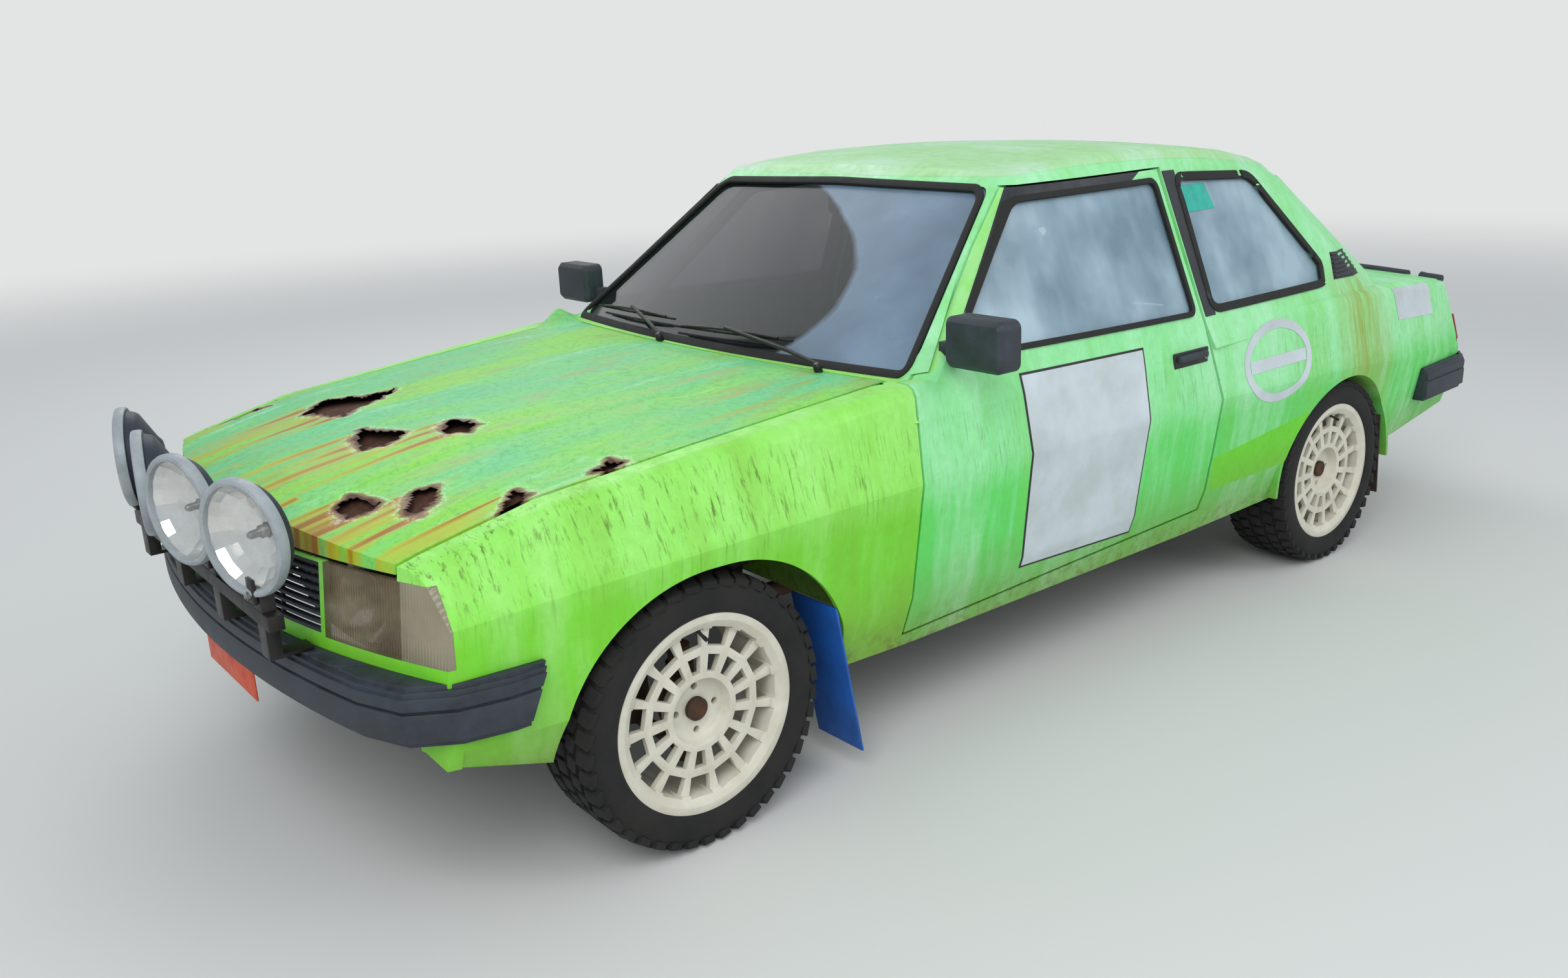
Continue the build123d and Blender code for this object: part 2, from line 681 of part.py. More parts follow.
front_bumper = bumper(front_plan, front_axle_y, bumper_low_z, -356) - seated_body
for x in bumper_slots:
    slot = Pos(x, front_axle_y - 690 + (x - 448) * 0.36, bumper_top_z) * Rot(0, 0, -38) * Box(14, 62, 12)
    front_bumper = front_bumper - slot - across(slot)
end_slope = [(front_axle_y - 356, bumper_top_z + 20), (front_axle_y - 356, 0), (front_axle_y - 410, 0), (front_axle_y - 410, bumper_low_z + 12)]
front_bumper = front_bumper - prism_x(end_slope, -far_x, far_x)
save(front_bumper, "front_bumper")
rear_bumper = bumper(rear_plan, rear_axle_y, bumper_low_z + 12, 552) - seated_body
save(rear_bumper, "rear_bumper")

# Blank plate on the valance
plate_half = 160
number_plate = block((-plate_half, nose_y - 12, 350), (plate_half, nose_y - 8, bumper_low_z - seat_gap))
save(number_plate, "number_plate")

# Four driving lamps on a bar. Columns: x, yaw outward in degrees
lamp_rows = [(-417, -20), (-139, -15), (139, 15), (417, 20)]
lamp_bow = 34              # the outer lamps stand further back
lamp_bodies = []
lamp_lenses = []
for x, yaw in lamp_rows:
    lean = abs(sin(radians(yaw)))
    face_y = front_end_y + lamp_radius * lean + (lamp_bow - 10 if abs(x) > 200 else 0)
    facing = Vector(sin(radians(yaw)), -cos(radians(yaw)), 0)
    face = Plane(origin=(x, face_y, lamp_height), x_dir=(facing.Y * -1, facing.X, 0), z_dir=facing)
    with BuildPart() as housing:
        with BuildSketch(Plane(origin=face.origin, x_dir=facing, z_dir=Vector(0, 0, 1).cross(facing))) as profile:
            with BuildLine():
                Polyline(
                    (-lamp_depth, 0), (0 - 6, 0), (-6, lamp_radius - 14), (0, lamp_radius - 14), (0, lamp_radius),
                    (-24, lamp_radius), (-46, lamp_radius - 18), (-lamp_depth, 32), close=True,
                )
            make_face()
        revolve(axis=Axis(face.origin, facing))
    lamp_bodies.append(housing.part)
    with BuildPart() as lens:
        with BuildSketch(face.offset(-6 + seat_gap)):
            Circle(lamp_radius - 14 - seat_gap)
        extrude(amount=5)
    lamp_lenses.append(lens.part)
save(Compound(children=lamp_bodies), "driving_lamps")
save(Compound(children=lamp_lenses), "driving_lamp_lenses")

bar_z = 628
bar_y = front_end_y + 92
bar = block((-470, bar_y - 15, bar_z - 15), (470, bar_y + 15, bar_z + 15))
for x, yaw in lamp_rows:
    bar = bar + block((x - 20, bar_y - 14, bar_z), (x + 20, bar_y + 14, lamp_height - lamp_radius + 30))
    bar = bar + block((x - 22, bar_y - 13, bumper_top_z + seat_gap), (x + 22, bar_y + 13, bar_z))
    foot_y = nose_y + nose_bow * ((abs(x) - 22) / 800) ** 2 - 5
    bar = bar + block((x - 22, bar_y - 13, bumper_top_z + seat_gap), (x + 22, foot_y, bumper_top_z + 8))
for piece in lamp_bodies:
    bar = bar - piece
save(bar, "lamp_bar")

# Wheels: tyre and rim, made once at the origin with the axle along X
tyre_bead = rim_flange_radius - 8
with BuildPart() as tyre_form:
    with BuildSketch(Plane.XY) as tyre_half:
        with BuildLine():
            half = tyre_width / 2
            Polyline(
                (-rim_width / 2 + 18, tyre_bead - 18), (-half + 6, tyre_bead + 20), (-half, tyre_bead + 44),
                (-half + 12, axle_height - 12), (-half + 36, axle_height), (half - 36, axle_height),
                (half - 12, axle_height - 12), (half, tyre_bead + 44), (half - 6, tyre_bead + 20),
                (rim_width / 2 - 18, tyre_bead - 18), close=True,
            )
        make_face()
    revolve(axis=Axis.X)

barrel_radius = tyre_bead - 18 - seat_gap
with BuildPart() as rim_form:
    with BuildSketch(Plane.XY):
        with BuildLine():
            Polyline(
                (-rim_width / 2 - 6, tyre_bead - 6), (-rim_width / 2 - 6, tyre_bead + 8), (-rim_width / 2 - 1, tyre_bead + 8),
                (-rim_width / 2 - 1, tyre_bead - 14), (-rim_width / 2 + 12, barrel_radius),
                (rim_width / 2 - 12, barrel_radius), (rim_width / 2 + 1, tyre_bead - 14),
                (rim_width / 2 + 1, tyre_bead + 8), (rim_width / 2 + 6, tyre_bead + 8), (rim_width / 2 + 6, tyre_bead - 8),
                (rim_width / 2 - 7, barrel_radius - 10), (rim_width / 2 - 14, barrel_radius - 10), (rim_width / 2 - 14, 74),
                (rim_width / 2 - 40, 68), (rim_width / 2 - 40, hub_bore_radius),
                (rim_width / 2 - 58, hub_bore_radius), (rim_width / 2 - 58, 74),
                (rim_width / 2 - 28, 84), (rim_width / 2 - 28, barrel_radius - 8),
                (-rim_width / 2 + 6, barrel_radius - 8), close=True,
            )
        make_face()
    revolve(axis=Axis.X)
    with BuildSketch(Plane.YZ.offset(-rim_width)):
        with PolarLocations(166, rim_window_count):
            Trapezoid(56, 44, 84, rotation=90)
        with PolarLocations(107, rim_window_count):
            Trapezoid(32, 38, 81, rotation=90)
        with PolarLocations(stud_pitch_diameter / 2, stud_count):
            Circle(8)
    extrude(amount=2 * rim_width, mode=Mode.SUBTRACT)

wheel_places = {
    "front_left": (track_half, front_axle_y, 0),
    "front_right": (-track_half, front_axle_y, 180),
    "rear_left": (track_half, rear_axle_y, 0),
    "rear_right": (-track_half, rear_axle_y, 180),
}
for name, (x, y, turn) in wheel_places.items():
    place = Pos(x, y, axle_height) * Rot(0, 0, turn)
    save(place * tyre_form.part, f"tyre_{name}")
    save(place * rim_form.part, f"rim_{name}")

# Steering knuckles: a post on the steering axis and a stub axle into the rim
stub_radius = hub_bore_radius - hub_clearance
post_radius = 30
post_low_z = axle_height - 92
post_top_z = axle_height + 92
stub_end_x = track_half + rim_width / 2 - 30
knuckle = tube((track_half, front_axle_y, post_low_z), (track_half, front_axle_y, post_top_z), post_radius)
knuckle = knuckle + tube((track_half, front_axle_y, axle_height), (stub_end_x, front_axle_y, axle_height), stub_radius)
knuckle = knuckle + tube((track_half, front_axle_y, axle_height), (track_half + 26, front_axle_y, axle_height), 62)
knuckle = knuckle + block((track_half - 40, front_axle_y - 12, axle_height - 60), (track_half - 10, front_axle_y + 120, axle_height - 30))
save(knuckle, "knuckle_left")
save(across(knuckle), "knuckle_right")

engine_cut_z = 262

# Front crossmember with the arms and springs that carry the knuckles
arm_radius = 15
cross = block((-400, front_axle_y - 45, 190), (400, front_axle_y + 45, 250))
arms = tube((380, front_axle_y, 200), (track_half, front_axle_y, post_low_z - 22), arm_radius)
arms = arms + tube((track_half, front_axle_y, post_low_z - 40), (track_half, front_axle_y, post_low_z - seat_gap), steer_pin_radius)
arms = arms + tube((400, front_axle_y, 425), (track_half, front_axle_y, post_top_z + 22), arm_radius)
arms = arms + tube((track_half, front_axle_y, post_top_z + seat_gap), (track_half, front_axle_y, post_top_z + 40), steer_pin_radius)
arms = arms + block((352, front_axle_y - 40, 240), (400, front_axle_y + 40, rail_z - seat_gap))
arms = arms + block((110, front_axle_y - 50, 240), (165, front_axle_y + 50, engine_cut_z - seat_gap))
arms = arms + tube((500, front_axle_y, 190), (470, front_axle_y, 430), 40)
save(cross + arms + across(arms), "front_crossmember")

# Rear axle with its differential, springs and stub axles
axle_end_x = track_half + rim_width / 2 - 30
rear_axle = tube((-axle_end_x, rear_axle_y, axle_height), (axle_end_x, rear_axle_y, axle_height), stub_radius)
rear_axle = rear_axle + tube((-570, rear_axle_y, axle_height), (570, rear_axle_y, axle_height), 38)
rear_axle = rear_axle + (Pos(0, rear_axle_y, axle_height) * Sphere(100))
spring = tube((480, rear_axle_y, axle_height + 20), (480, rear_axle_y, boot_floor_z - seat_gap), 50)
link = tube((470, rear_axle_y, axle_height - 20), (470, kick_up_y + 40, boot_floor_z - 40), 20)
link = link + block((440, kick_up_y + 12 + seat_gap, boot_floor_z - 90), (500, kick_up_y + 60, boot_floor_z - seat_gap))
save(rear_axle + spring + across(spring) + link + across(link), "rear_axle")

# Engine and gearbox as one plain block each, fused
engine = block((-170, front_axle_y - 330, 230), (170, front_axle_y + 330, 700))
engine = engine - block((-500, front_axle_y - 60, 0), (500, front_axle_y + 60, engine_cut_z))
gearbox = block((-80, front_axle_y + 330, 240), (80, firewall_y - seat_gap, 380))
save(engine + gearbox, "engine_block")

# Exhaust
exhaust = bent_tube(
    [
        (190, firewall_y - 40, 235),
        (190, kick_up_y - 60, 235),
        (330, rear_axle_y - 200, 232),
        (330, rear_axle_y + 240, 232),
        (400, rear_axle_y + 440, 322),
        (400, rear_axle_y + 1000, 322),
    ],
    60,
    24,
)
muffler = block((330, rear_axle_y + 500, 282), (520, rear_axle_y + 770, 372))
hanger = block((415, rear_axle_y + 600, 360), (435, rear_axle_y + 620, boot_floor_z - seat_gap))
front_hanger = block((182, firewall_y + 300, 240), (198, firewall_y + 316, floor_z - seat_gap))
save(exhaust + muffler + hanger + front_hanger, "exhaust")

# Mudflaps hang from the rear lips of the arches
flap_gauge = 6


def mudflap(arch_y, arch_z, radius, flat, top_z, low_y, low_z, inner_x, outer_x):
    """A sloping sheet that starts at the arch's lip and ends at low_y, low_z."""
    lip_y = arch_y + flat / 2 + sqrt(radius**2 - (top_z - arch_z) ** 2) - seat_gap
    outline = [(lip_y - flap_gauge, top_z), (lip_y, top_z), (low_y + flap_gauge, low_z), (low_y, low_z)]
    return prism_x(outline, inner_x, outer_x)


front_flap = mudflap(
    front_arch_y, front_arch_z, front_arch_radius, front_arch_flat, 440,
    front_axle_y + 424, 64, track_half - 52, track_half + 104,
)
rear_flap = mudflap(
    rear_arch_y, rear_arch_z, rear_arch_radius, 0, 432,
    rear_axle_y + 336, 154, track_half - 52, track_half + 90,
)
save(Compound(children=[front_flap, across(front_flap)]), "front_mudflaps")
save(Compound(children=[rear_flap, across(rear_flap)]), "rear_mudflaps")

# Roll cage
hoop_y = front_axle_y + 1800
cage_x = sill_inner_x - cage_tube_radius + 6
hoop = bent_tube(
    [(cage_x - 10, hoop_y, floor_z + 14), (cage_x - 10, hoop_y, 800), (545, hoop_y, 1300), (-545, hoop_y, 1300),
     (-cage_x + 10, hoop_y, 800), (-cage_x + 10, hoop_y, floor_z + 14)], 90, cage_tube_radius,
)
front_leg = bent_tube(
    [(540, hoop_y, 1290), (512, front_axle_y + 1190, 1262), (662, front_axle_y + 800, 880), (662, front_axle_y + 780, floor_z + 14)],
    70, cage_tube_radius,
)
stay = tube((480, hoop_y, 1300), (500, rear_axle_y - 40, 640), cage_tube_radius)
stay = stay + tube((500, rear_axle_y - 40, 640), (500, rear_axle_y - 36, boot_floor_z + 13), cage_tube_radius)
diagonal = tube((-500, hoop_y, 1290), (cage_x - 12, hoop_y, 420), cage_tube_radius)
cage = hoop + front_leg + across(front_leg) + stay + across(stay) + diagonal
save(cage, "roll_cage")

# Dashboard
dash_profile = [
    (firewall_y + firewall_gauge + seat_gap, 720), (firewall_y + firewall_gauge + seat_gap, 850),
    (firewall_y + 120, 868), (firewall_y + 250, 850), (firewall_y + 280, 790), (firewall_y + 180, 700),
]
dashboard = prism_x(dash_profile, -640, 640) - cage
save(dashboard, "dashboard")

# Steering wheel on its column
wheel_x = 360
steer_plane = Plane(origin=(wheel_x, firewall_y + 470, 860), x_dir=(1, 0, 0), z_dir=(0, cos(radians(28)), sin(radians(28))))
with BuildPart() as steering_wheel:
    with BuildSketch(steer_plane):
        Circle(185)
        Circle(160, mode=Mode.SUBTRACT)
        Rectangle(340, 26)
        with Locations((0, -85)):
            Rectangle(26, 160)
        Circle(42)
    extrude(amount=14)
    with BuildSketch(steer_plane):
        Circle(20)
    extrude(amount=-300)
save(steering_wheel.part - dashboard, "steering_wheel")

# Two bucket seats
seats = []
for x in (-376, 376):
    seat_y = front_axle_y + 1150
    points = [
        (seat_y, floor_z + floor_gauge + seat_gap), (seat_y, 400), (seat_y - 40, 480), (seat_y + 20, 500),
        (seat_y + 400, 450), (seat_y + 560, 980), (seat_y + 585, 1130), (seat_y + 620, 1130),
        (seat_y + 606, 950), (seat_y + 520, 420), (seat_y + 500, floor_z + floor_gauge + seat_gap),
    ]
    seats.append(prism_x(points, x - 220, x + 220))
save(Compound(children=seats), "seats")

# Wipers lie at the foot of the windscreen
wipers = []
for x, back in ((-150, 590), (500, 612)):
    wipers.append(
        tube((x, front_axle_y + back, 922), (x - 460, front_axle_y + 622, 944), 6)
        + tube((x, front_axle_y + back, 884), (x, front_axle_y + back, 928), 8)
    )
save(Compound(children=wipers) - scuttle, "wipers")

# Door mirrors
with BuildPart() as mirror_shell:
    with Locations((866, door_front_y + 150, 985)):
        Box(176, 66, 118)
    fillet(mirror_shell.edges().filter_by(Axis.Y), 22)
    chamfer(mirror_shell.faces().sort_by(Axis.Y)[0].edges(), 12)
mirror_left = mirror_shell.part
mirror_left = mirror_left + block((735, door_front_y + 150, 940), (810, door_front_y + 175, 975))
mirror_left = mirror_left - door - door_glass
save(mirror_left, "mirror_left")
save(across(mirror_left), "mirror_right")
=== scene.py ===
import json
import math
from contextlib import contextmanager

import bmesh
import bpy
from mathutils import Matrix, Vector, noise
from mathutils.bvhtree import BVHTree


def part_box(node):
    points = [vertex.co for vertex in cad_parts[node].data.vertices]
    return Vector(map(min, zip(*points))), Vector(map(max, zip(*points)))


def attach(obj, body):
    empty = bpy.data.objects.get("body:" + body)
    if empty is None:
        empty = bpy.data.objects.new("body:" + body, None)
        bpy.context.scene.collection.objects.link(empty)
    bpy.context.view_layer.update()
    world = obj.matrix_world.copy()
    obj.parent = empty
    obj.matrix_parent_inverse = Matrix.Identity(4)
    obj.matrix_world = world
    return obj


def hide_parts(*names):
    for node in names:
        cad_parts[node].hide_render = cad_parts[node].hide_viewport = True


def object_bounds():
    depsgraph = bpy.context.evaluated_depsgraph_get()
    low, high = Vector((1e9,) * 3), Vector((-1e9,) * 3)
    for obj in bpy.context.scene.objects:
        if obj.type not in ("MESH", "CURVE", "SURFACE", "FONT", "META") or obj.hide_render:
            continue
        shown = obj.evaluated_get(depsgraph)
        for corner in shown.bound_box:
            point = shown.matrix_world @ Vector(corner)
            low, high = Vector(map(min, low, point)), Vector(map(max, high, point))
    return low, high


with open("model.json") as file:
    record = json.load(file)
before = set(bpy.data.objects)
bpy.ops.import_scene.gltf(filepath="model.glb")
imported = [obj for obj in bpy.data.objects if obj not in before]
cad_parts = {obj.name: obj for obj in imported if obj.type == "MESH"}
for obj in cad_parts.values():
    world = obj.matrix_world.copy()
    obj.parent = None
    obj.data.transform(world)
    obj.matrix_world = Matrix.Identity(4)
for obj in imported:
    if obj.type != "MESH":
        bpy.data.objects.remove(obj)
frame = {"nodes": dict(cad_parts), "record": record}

solid_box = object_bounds()
nodes = frame["nodes"]
node_slot = {row["node"]: row["material_slot"] for row in frame["record"]["subparts"]}
body_of = {name: body for body, names in frame["record"]["behaviour"]["bodies"].items() for name in names}

# Places, in metres: the car's nose points along -Y and its left side is +X
tyre_low, tyre_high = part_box("tyre_front_left")
rear_low, rear_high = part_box("tyre_rear_left")
axle_y = (tyre_low.y + tyre_high.y) / 2
axle_z = (tyre_low.z + tyre_high.z) / 2
track_half = (tyre_low.x + tyre_high.x) / 2
tyre_half = (tyre_high.x - tyre_low.x) / 2
rear_axle_y = (rear_low.y + rear_high.y) / 2
front_end_y = solid_box[0].y
crease_z = 0.67  # the crease along the side, above which the paint is paler: painted sky light on the side that faces up
# Each side's name, the sign of its X, and the view that looks onto it
sides = (("left", 1, "x"), ("right", -1, "-x"))


def behind(distance):
    """The Y that lies this far behind the front axle."""
    return axle_y + distance


def side_view(*corners):
    """Corners as Y and Z, from distances behind the front axle and Z."""
    return [(behind(distance), z) for distance, z in corners]


def linear(colour):
    """An sRGB hex colour as the linear RGBA that the shaders take."""
    parts = [int(colour[i:i + 2], 16) / 255 for i in (1, 3, 5)]
    return [p / 12.92 if p <= 0.04045 else ((p + 0.055) / 1.055) ** 2.4 for p in parts] + [1]


def add(tree, kind, inputs=None, **settings):
    """Adds a shader node. An input is a number, a colour, a socket, or a node whose first live output is used."""
    made = tree.nodes.new("ShaderNode" + kind)
    for name, value in settings.items():
        setattr(made, name, value)
    for name, value in (inputs or {}).items():
        if isinstance(value, str):
            value = linear(value)
        if isinstance(value, bpy.types.Node):
            value = next(out for out in value.outputs if out.enabled)
        if isinstance(value, bpy.types.NodeSocket):
            tree.links.new(value, made.inputs[name])
        else:
            made.inputs[name].default_value = value
    return made


def new_material(name):
    """An empty material, its tree, and the object coordinates in it."""
    made = bpy.data.materials.new(name)
    made.use_nodes = True
    tree = made.node_tree
    tree.nodes.clear()
    return made, tree, add(tree, "TexCoord").outputs["Object"]


def surfaced(made, inputs):
    """Ends a material with a shader that takes these inputs."""
    shader = add(made.node_tree, "BsdfPrincipled", inputs)
    add(made.node_tree, "OutputMaterial", {"Surface": shader})
    return made


def layered(tree, colour, layers):
    """Lays shades over a colour. A layer holds a pattern, the two values of it between which the layer grows from
    nothing to its full strength, that strength, and its shade."""
    for pattern, start, end, strength, shade in layers:
        share = add(tree, "MapRange", {0: pattern, 1: start, 2: end, 4: strength})
        colour = add(tree, "Mix", {0: share, 6: colour, 7: shade}, data_type="RGBA")
    return colour


def overlap(tree, rows):
    """The product of shares. A row holds a value, the two values of it between which its share grows from its
    least to 1, and that least."""
    through = 1.0
    for value, start, end, least in rows:
        share = add(tree, "MapRange", {0: value, 1: start, 2: end, 3: least})
        through = add(tree, "Math", {0: through, 1: share}, operation="MULTIPLY")
    return through


def worn_finish(name, colour, worn, patch_mm, roughness=0.4, bump=0.15, grain_mm=4.5, metallic=0.0, spread=0.35):
    """A finish in its own colour, turned by dirt or wear in patches, with a fine grain. A real grain of 0.2 to 1 mm
    is too fine to show, so it is drawn several times as coarse."""
    made, tree, place = new_material(name)
    patches = add(tree, "TexNoise", {"Vector": place, "Scale": 1000 / patch_mm, "Detail": 6.0, "Roughness": 0.65})
    share = add(tree, "MapRange", {0: patches, 1: 0.5 - spread / 2, 2: 0.5 + spread})
    mixed = add(tree, "Mix", {0: share, 6: colour, 7: worn}, data_type="RGBA")
    fine = add(tree, "TexNoise", {"Vector": place, "Scale": 1000 / grain_mm, "Detail": 3.0})
    relief = add(tree, "Bump", {"Height": fine, "Strength": bump, "Distance": 0.001})
    rough = add(tree, "MapRange", {0: share, 3: roughness, 4: min(roughness + 0.25, 1.0)})
    return surfaced(made, {"Base Color": mixed, "Roughness": rough, "Metallic": metallic, "Normal": relief})


def stained_paint(name, upper_sky_lit, lower, chalk, algae, runs_share, quarter=False):
    """Old car enamel: paler above the crease, as painted sky light on the side that faces up, chalked in upright bands,
    with algae runs 10 mm wide and 130 mm long under the shoulder, mud and rust pinholes along the sill, and on a
    quarter its own patch and stain."""
    made, tree, place = new_material(name)
    axes = add(tree, "SeparateXYZ", {0: place})
    length, height = axes.outputs["Y"], axes.outputs["Z"]
    # Patterns: repeats per metre along X, Y and Z, detail and roughness
    broad, mottle, bands, runs, spots, waves = (
        add(tree, "TexNoise", {"Vector": add(tree, "Mapping", {"Vector": place, "Scale": repeats}), "Scale": 1.0,
                               "Detail": detail, "Roughness": roughness})
        for repeats, detail, roughness in (
            ((2.6, 2.6, 2.6), 5.0, 0.6), ((34.0, 34.0, 34.0), 8.0, 0.7), ((3.0, 9.0, 1.1), 6.0, 0.62),
            ((42.0, 105.0, 7.5), 6.0, 0.68), ((13.0, 13.0, 13.0), 9.0, 0.78), ((4.0, 4.0, 4.0), 2.0, 0.5),
        )
    )
    waver = add(tree, "Math", {0: broad, 1: 0.03, 2: height}, operation="MULTIPLY_ADD")
    # The upper colour is the paint with painted sky light, the lower one below the crease the same paint in painted
    # shade
    colour = layered(tree, upper_sky_lit, (
        (waver, crease_z + 0.04, crease_z - 0.05, 1.0, lower), (bands, 0.47, 0.68, 0.6, chalk),
        (bands, 0.48, 0.33, 0.45, algae),
    ))
    if quarter:
        # A repainted patch with sharp edges, whose top rises 93 mm per metre towards the rear
        rise, sharp = 0.093, 0.0001
        top = 0.500 - rise * behind(1.83)
        above_top = add(tree, "Math", {0: length, 1: -rise, 2: height}, operation="MULTIPLY_ADD")
        repainted = overlap(tree, [(value, edge, edge + width, 0.0) for value, edge, width in (
            (axes.outputs["X"], 0.5, sharp), (above_top, top, -sharp), (height, 0.395, sharp),
            (length, behind(1.79), sharp), (length, behind(2.3), -sharp),
        )])
        # Sap and rust run down from the pillar vent to the arch
        drips = add(tree, "Mapping", {"Vector": place, "Scale": (6.0, 30.0, 2.0)})
        drips = add(tree, "TexNoise", {"Vector": drips, "Scale": 1.0, "Detail": 7.0, "Roughness": 0.7})
        stain = overlap(tree, (
            (length, behind(2.44), behind(2.56), 0.0), (length, behind(2.86), behind(2.68), 0.0),
            (height, 0.98, 0.86, 0.0), (drips, 0.36, 0.58, 0.1),
        ))
        colour = layered(tree, colour, ((repainted, 0.0, 1.0, 1.0, "#66D60E"), (stain, 0.0, 1.0, 0.85, "#98A436")))
    algae_runs = overlap(tree, (
        (height, 0.58, 0.72, 0.0), (height, 0.850, 0.795, 0.0), (broad, 0.36, 0.56, 0.30), (runs, 0.54, 0.66, 0.0),
    ))
    mud = overlap(tree, ((mottle, 0.48, 0.64, 0.0), (height, 0.36, 0.24, 0.0)))
    # Specks, algae, road dirt that fades upwards over 240 mm, mud that sticks in patches, and rust pinholes
    colour = layered(tree, colour, (
        (mottle, 0.40, 0.78, 0.30, "#6FA83C"), (algae_runs, 0.0, 1.0, runs_share, "#557A1A"),
        (height, 0.50, 0.26, 0.62, "#7C8A34"), (mud, 0.0, 1.0, 0.8, "#6E5430"), (spots, 0.69, 0.73, 0.85, "#86652A"),
    ))
    rough = add(tree, "MapRange", {0: mottle, 1: 0.3, 2: 0.7, 3: 0.34, 4: 0.60})
    relief = add(tree, "Bump", {"Height": waves, "Strength": 0.12, "Distance": 0.01})
    fine = add(tree, "Bump", {"Height": mottle, "Strength": 0.12, "Distance": 0.001, "Normal": relief})
    return surfaced(made, {"Base Color": colour, "Roughness": rough, "Normal": fine})


def door_frame_paint(name):
    """The window frame: sprayed black beside the glass, and green on the pillar side of a slanted edge."""
    made, tree, place = new_material(name)
    axes = add(tree, "SeparateXYZ", {0: place})
    slant = (1.122 - 0.748) / (1.268 - 0.932)  # of the door window's front edge
    edge = add(tree, "Math", {0: axes.outputs["Z"], 1: slant, 2: behind(0.748 - 0.932 * slant) - 0.008},
               operation="MULTIPLY_ADD")
    side = add(tree, "Math", {0: axes.outputs["Y"], 1: edge}, operation="GREATER_THAN")
    fade = add(tree, "TexNoise", {"Vector": place, "Scale": 22.0, "Detail": 6.0, "Roughness": 0.65})
    black = layered(tree, "#1D1F23", ((fade, 0.35, 0.75, 1.0, "#35383D"),))
    # The green is the body's upper shade, which holds painted sky light
    green = layered(tree, "#8EE070", ((fade, 0.35, 0.75, 1.0, "#A6E49A"),))
    colour = add(tree, "Mix", {0: side, 6: green, 7: black}, data_type="RGBA")
    fine = add(tree, "TexNoise", {"Vector": place, "Scale": 220.0, "Detail": 3.0})
    relief = add(tree, "Bump", {"Height": fine, "Strength": 0.2, "Distance": 0.001})
    return surfaced(made, {"Base Color": colour, "Roughness": 0.5, "Normal": relief})


def glass_material(name, colour, opacity, roughness, film, film_opacity):
    """Toughened glass under a film of dust, which gathers in clouds 250 mm across and dries in upright streaks."""
    made, tree, place = new_material(name)
    cloud = add(tree, "TexNoise", {"Vector": place, "Scale": 4.0, "Detail": 3.0})
    tall = add(tree, "Mapping", {"Vector": place, "Scale": (12.0, 12.0, 1.6)})
    streak = add(tree, "TexNoise", {"Vector": tall, "Scale": 1.0, "Detail": 2.0})
    both = add(tree, "Math", {0: streak, 1: 0.35, 2: cloud}, operation="MULTIPLY_ADD")
    share = add(tree, "MapRange", {0: both, 1: 0.50, 2: 0.85})
    mixed = add(tree, "Mix", {0: share, 6: colour, 7: film}, data_type="RGBA")
    solid = add(tree, "MapRange", {0: share, 3: opacity, 4: film_opacity})
    return surfaced(made, {"Base Color": mixed, "Alpha": solid, "Roughness": roughness})


def glass_with_painted_reflection(name):
    """Laminated screen glass: clean and dark where it was wiped, and pale blue-grey beyond a curved edge, where the
    pale film is dust with a painted reflection of the sky in it.
    """
    made, tree, place = new_material(name)
    axes = add(tree, "SeparateXYZ", {0: place})
    above = add(tree, "Math", {0: axes.outputs["Z"], 1: 1.02}, operation="SUBTRACT")
    bow = add(tree, "Math", {0: above, 1: above}, operation="MULTIPLY")
    edge = add(tree, "Math", {0: bow, 1: 6.0, 2: axes.outputs["X"]}, operation="MULTIPLY_ADD")
    wavy = add(tree, "TexNoise", {"Vector": place, "Scale": 9.0, "Detail": 5.0})
    edge = add(tree, "Math", {0: wavy, 1: 0.03, 2: edge}, operation="MULTIPLY_ADD")
    cloud = add(tree, "TexNoise", {"Vector": place, "Scale": 5.0, "Detail": 4.0})
    # The pale share beyond the curved edge is a painted sky reflection, with dusty clouds in it
    share = overlap(tree, ((edge, 0.36, 0.385, 0.0), (cloud, 0.35, 0.70, 0.75)))
    mixed = add(tree, "Mix", {0: share, 6: "#1D2125", 7: "#7F96AC"}, data_type="RGBA")
    solid = add(tree, "MapRange", {0: share, 3: 0.60, 4: 0.86})
    rough = add(tree, "MapRange", {0: share, 3: 0.04, 4: 0.30})
    return surfaced(made, {"Base Color": mixed, "Alpha": solid, "Roughness": rough, "Specular IOR Level": 0.25})


def fluted_glass(name, colour, opacity, film, flute_mm, film_opacity, split=None, outer=None):
    """Pressed lamp glass with upright flutes on its face, hazed by age. Beyond split it is the indicator's."""
    made, tree, place = new_material(name)
    haze = add(tree, "TexNoise", {"Vector": place, "Scale": 11.0, "Detail": 3.0})
    share = add(tree, "MapRange", {0: haze, 1: 0.34, 2: 0.70})
    mixed = add(tree, "Mix", {0: share, 6: colour, 7: film}, data_type="RGBA")
    if split:
        across = add(tree, "SeparateXYZ", {0: place}).outputs["X"]
        across = add(tree, "Math", {0: across}, operation="ABSOLUTE")
        outside = add(tree, "Math", {0: across, 1: split}, operation="GREATER_THAN")
        mixed = add(tree, "Mix", {0: outside, 6: mixed, 7: outer}, data_type="RGBA")
    solid = add(tree, "MapRange", {0: share, 3: opacity, 4: film_opacity})
    # A wave of scale 1 repeats every 314 mm
    flutes = add(tree, "TexWave", {"Vector": place, "Scale": 314 / flute_mm}, bands_direction="X")
    relief = add(tree, "Bump", {"Height": flutes, "Strength": 0.5, "Distance": 0.0012})
    return surfaced(made, {"Base Color": mixed, "Alpha": solid, "Roughness": 0.10, "Normal": relief})


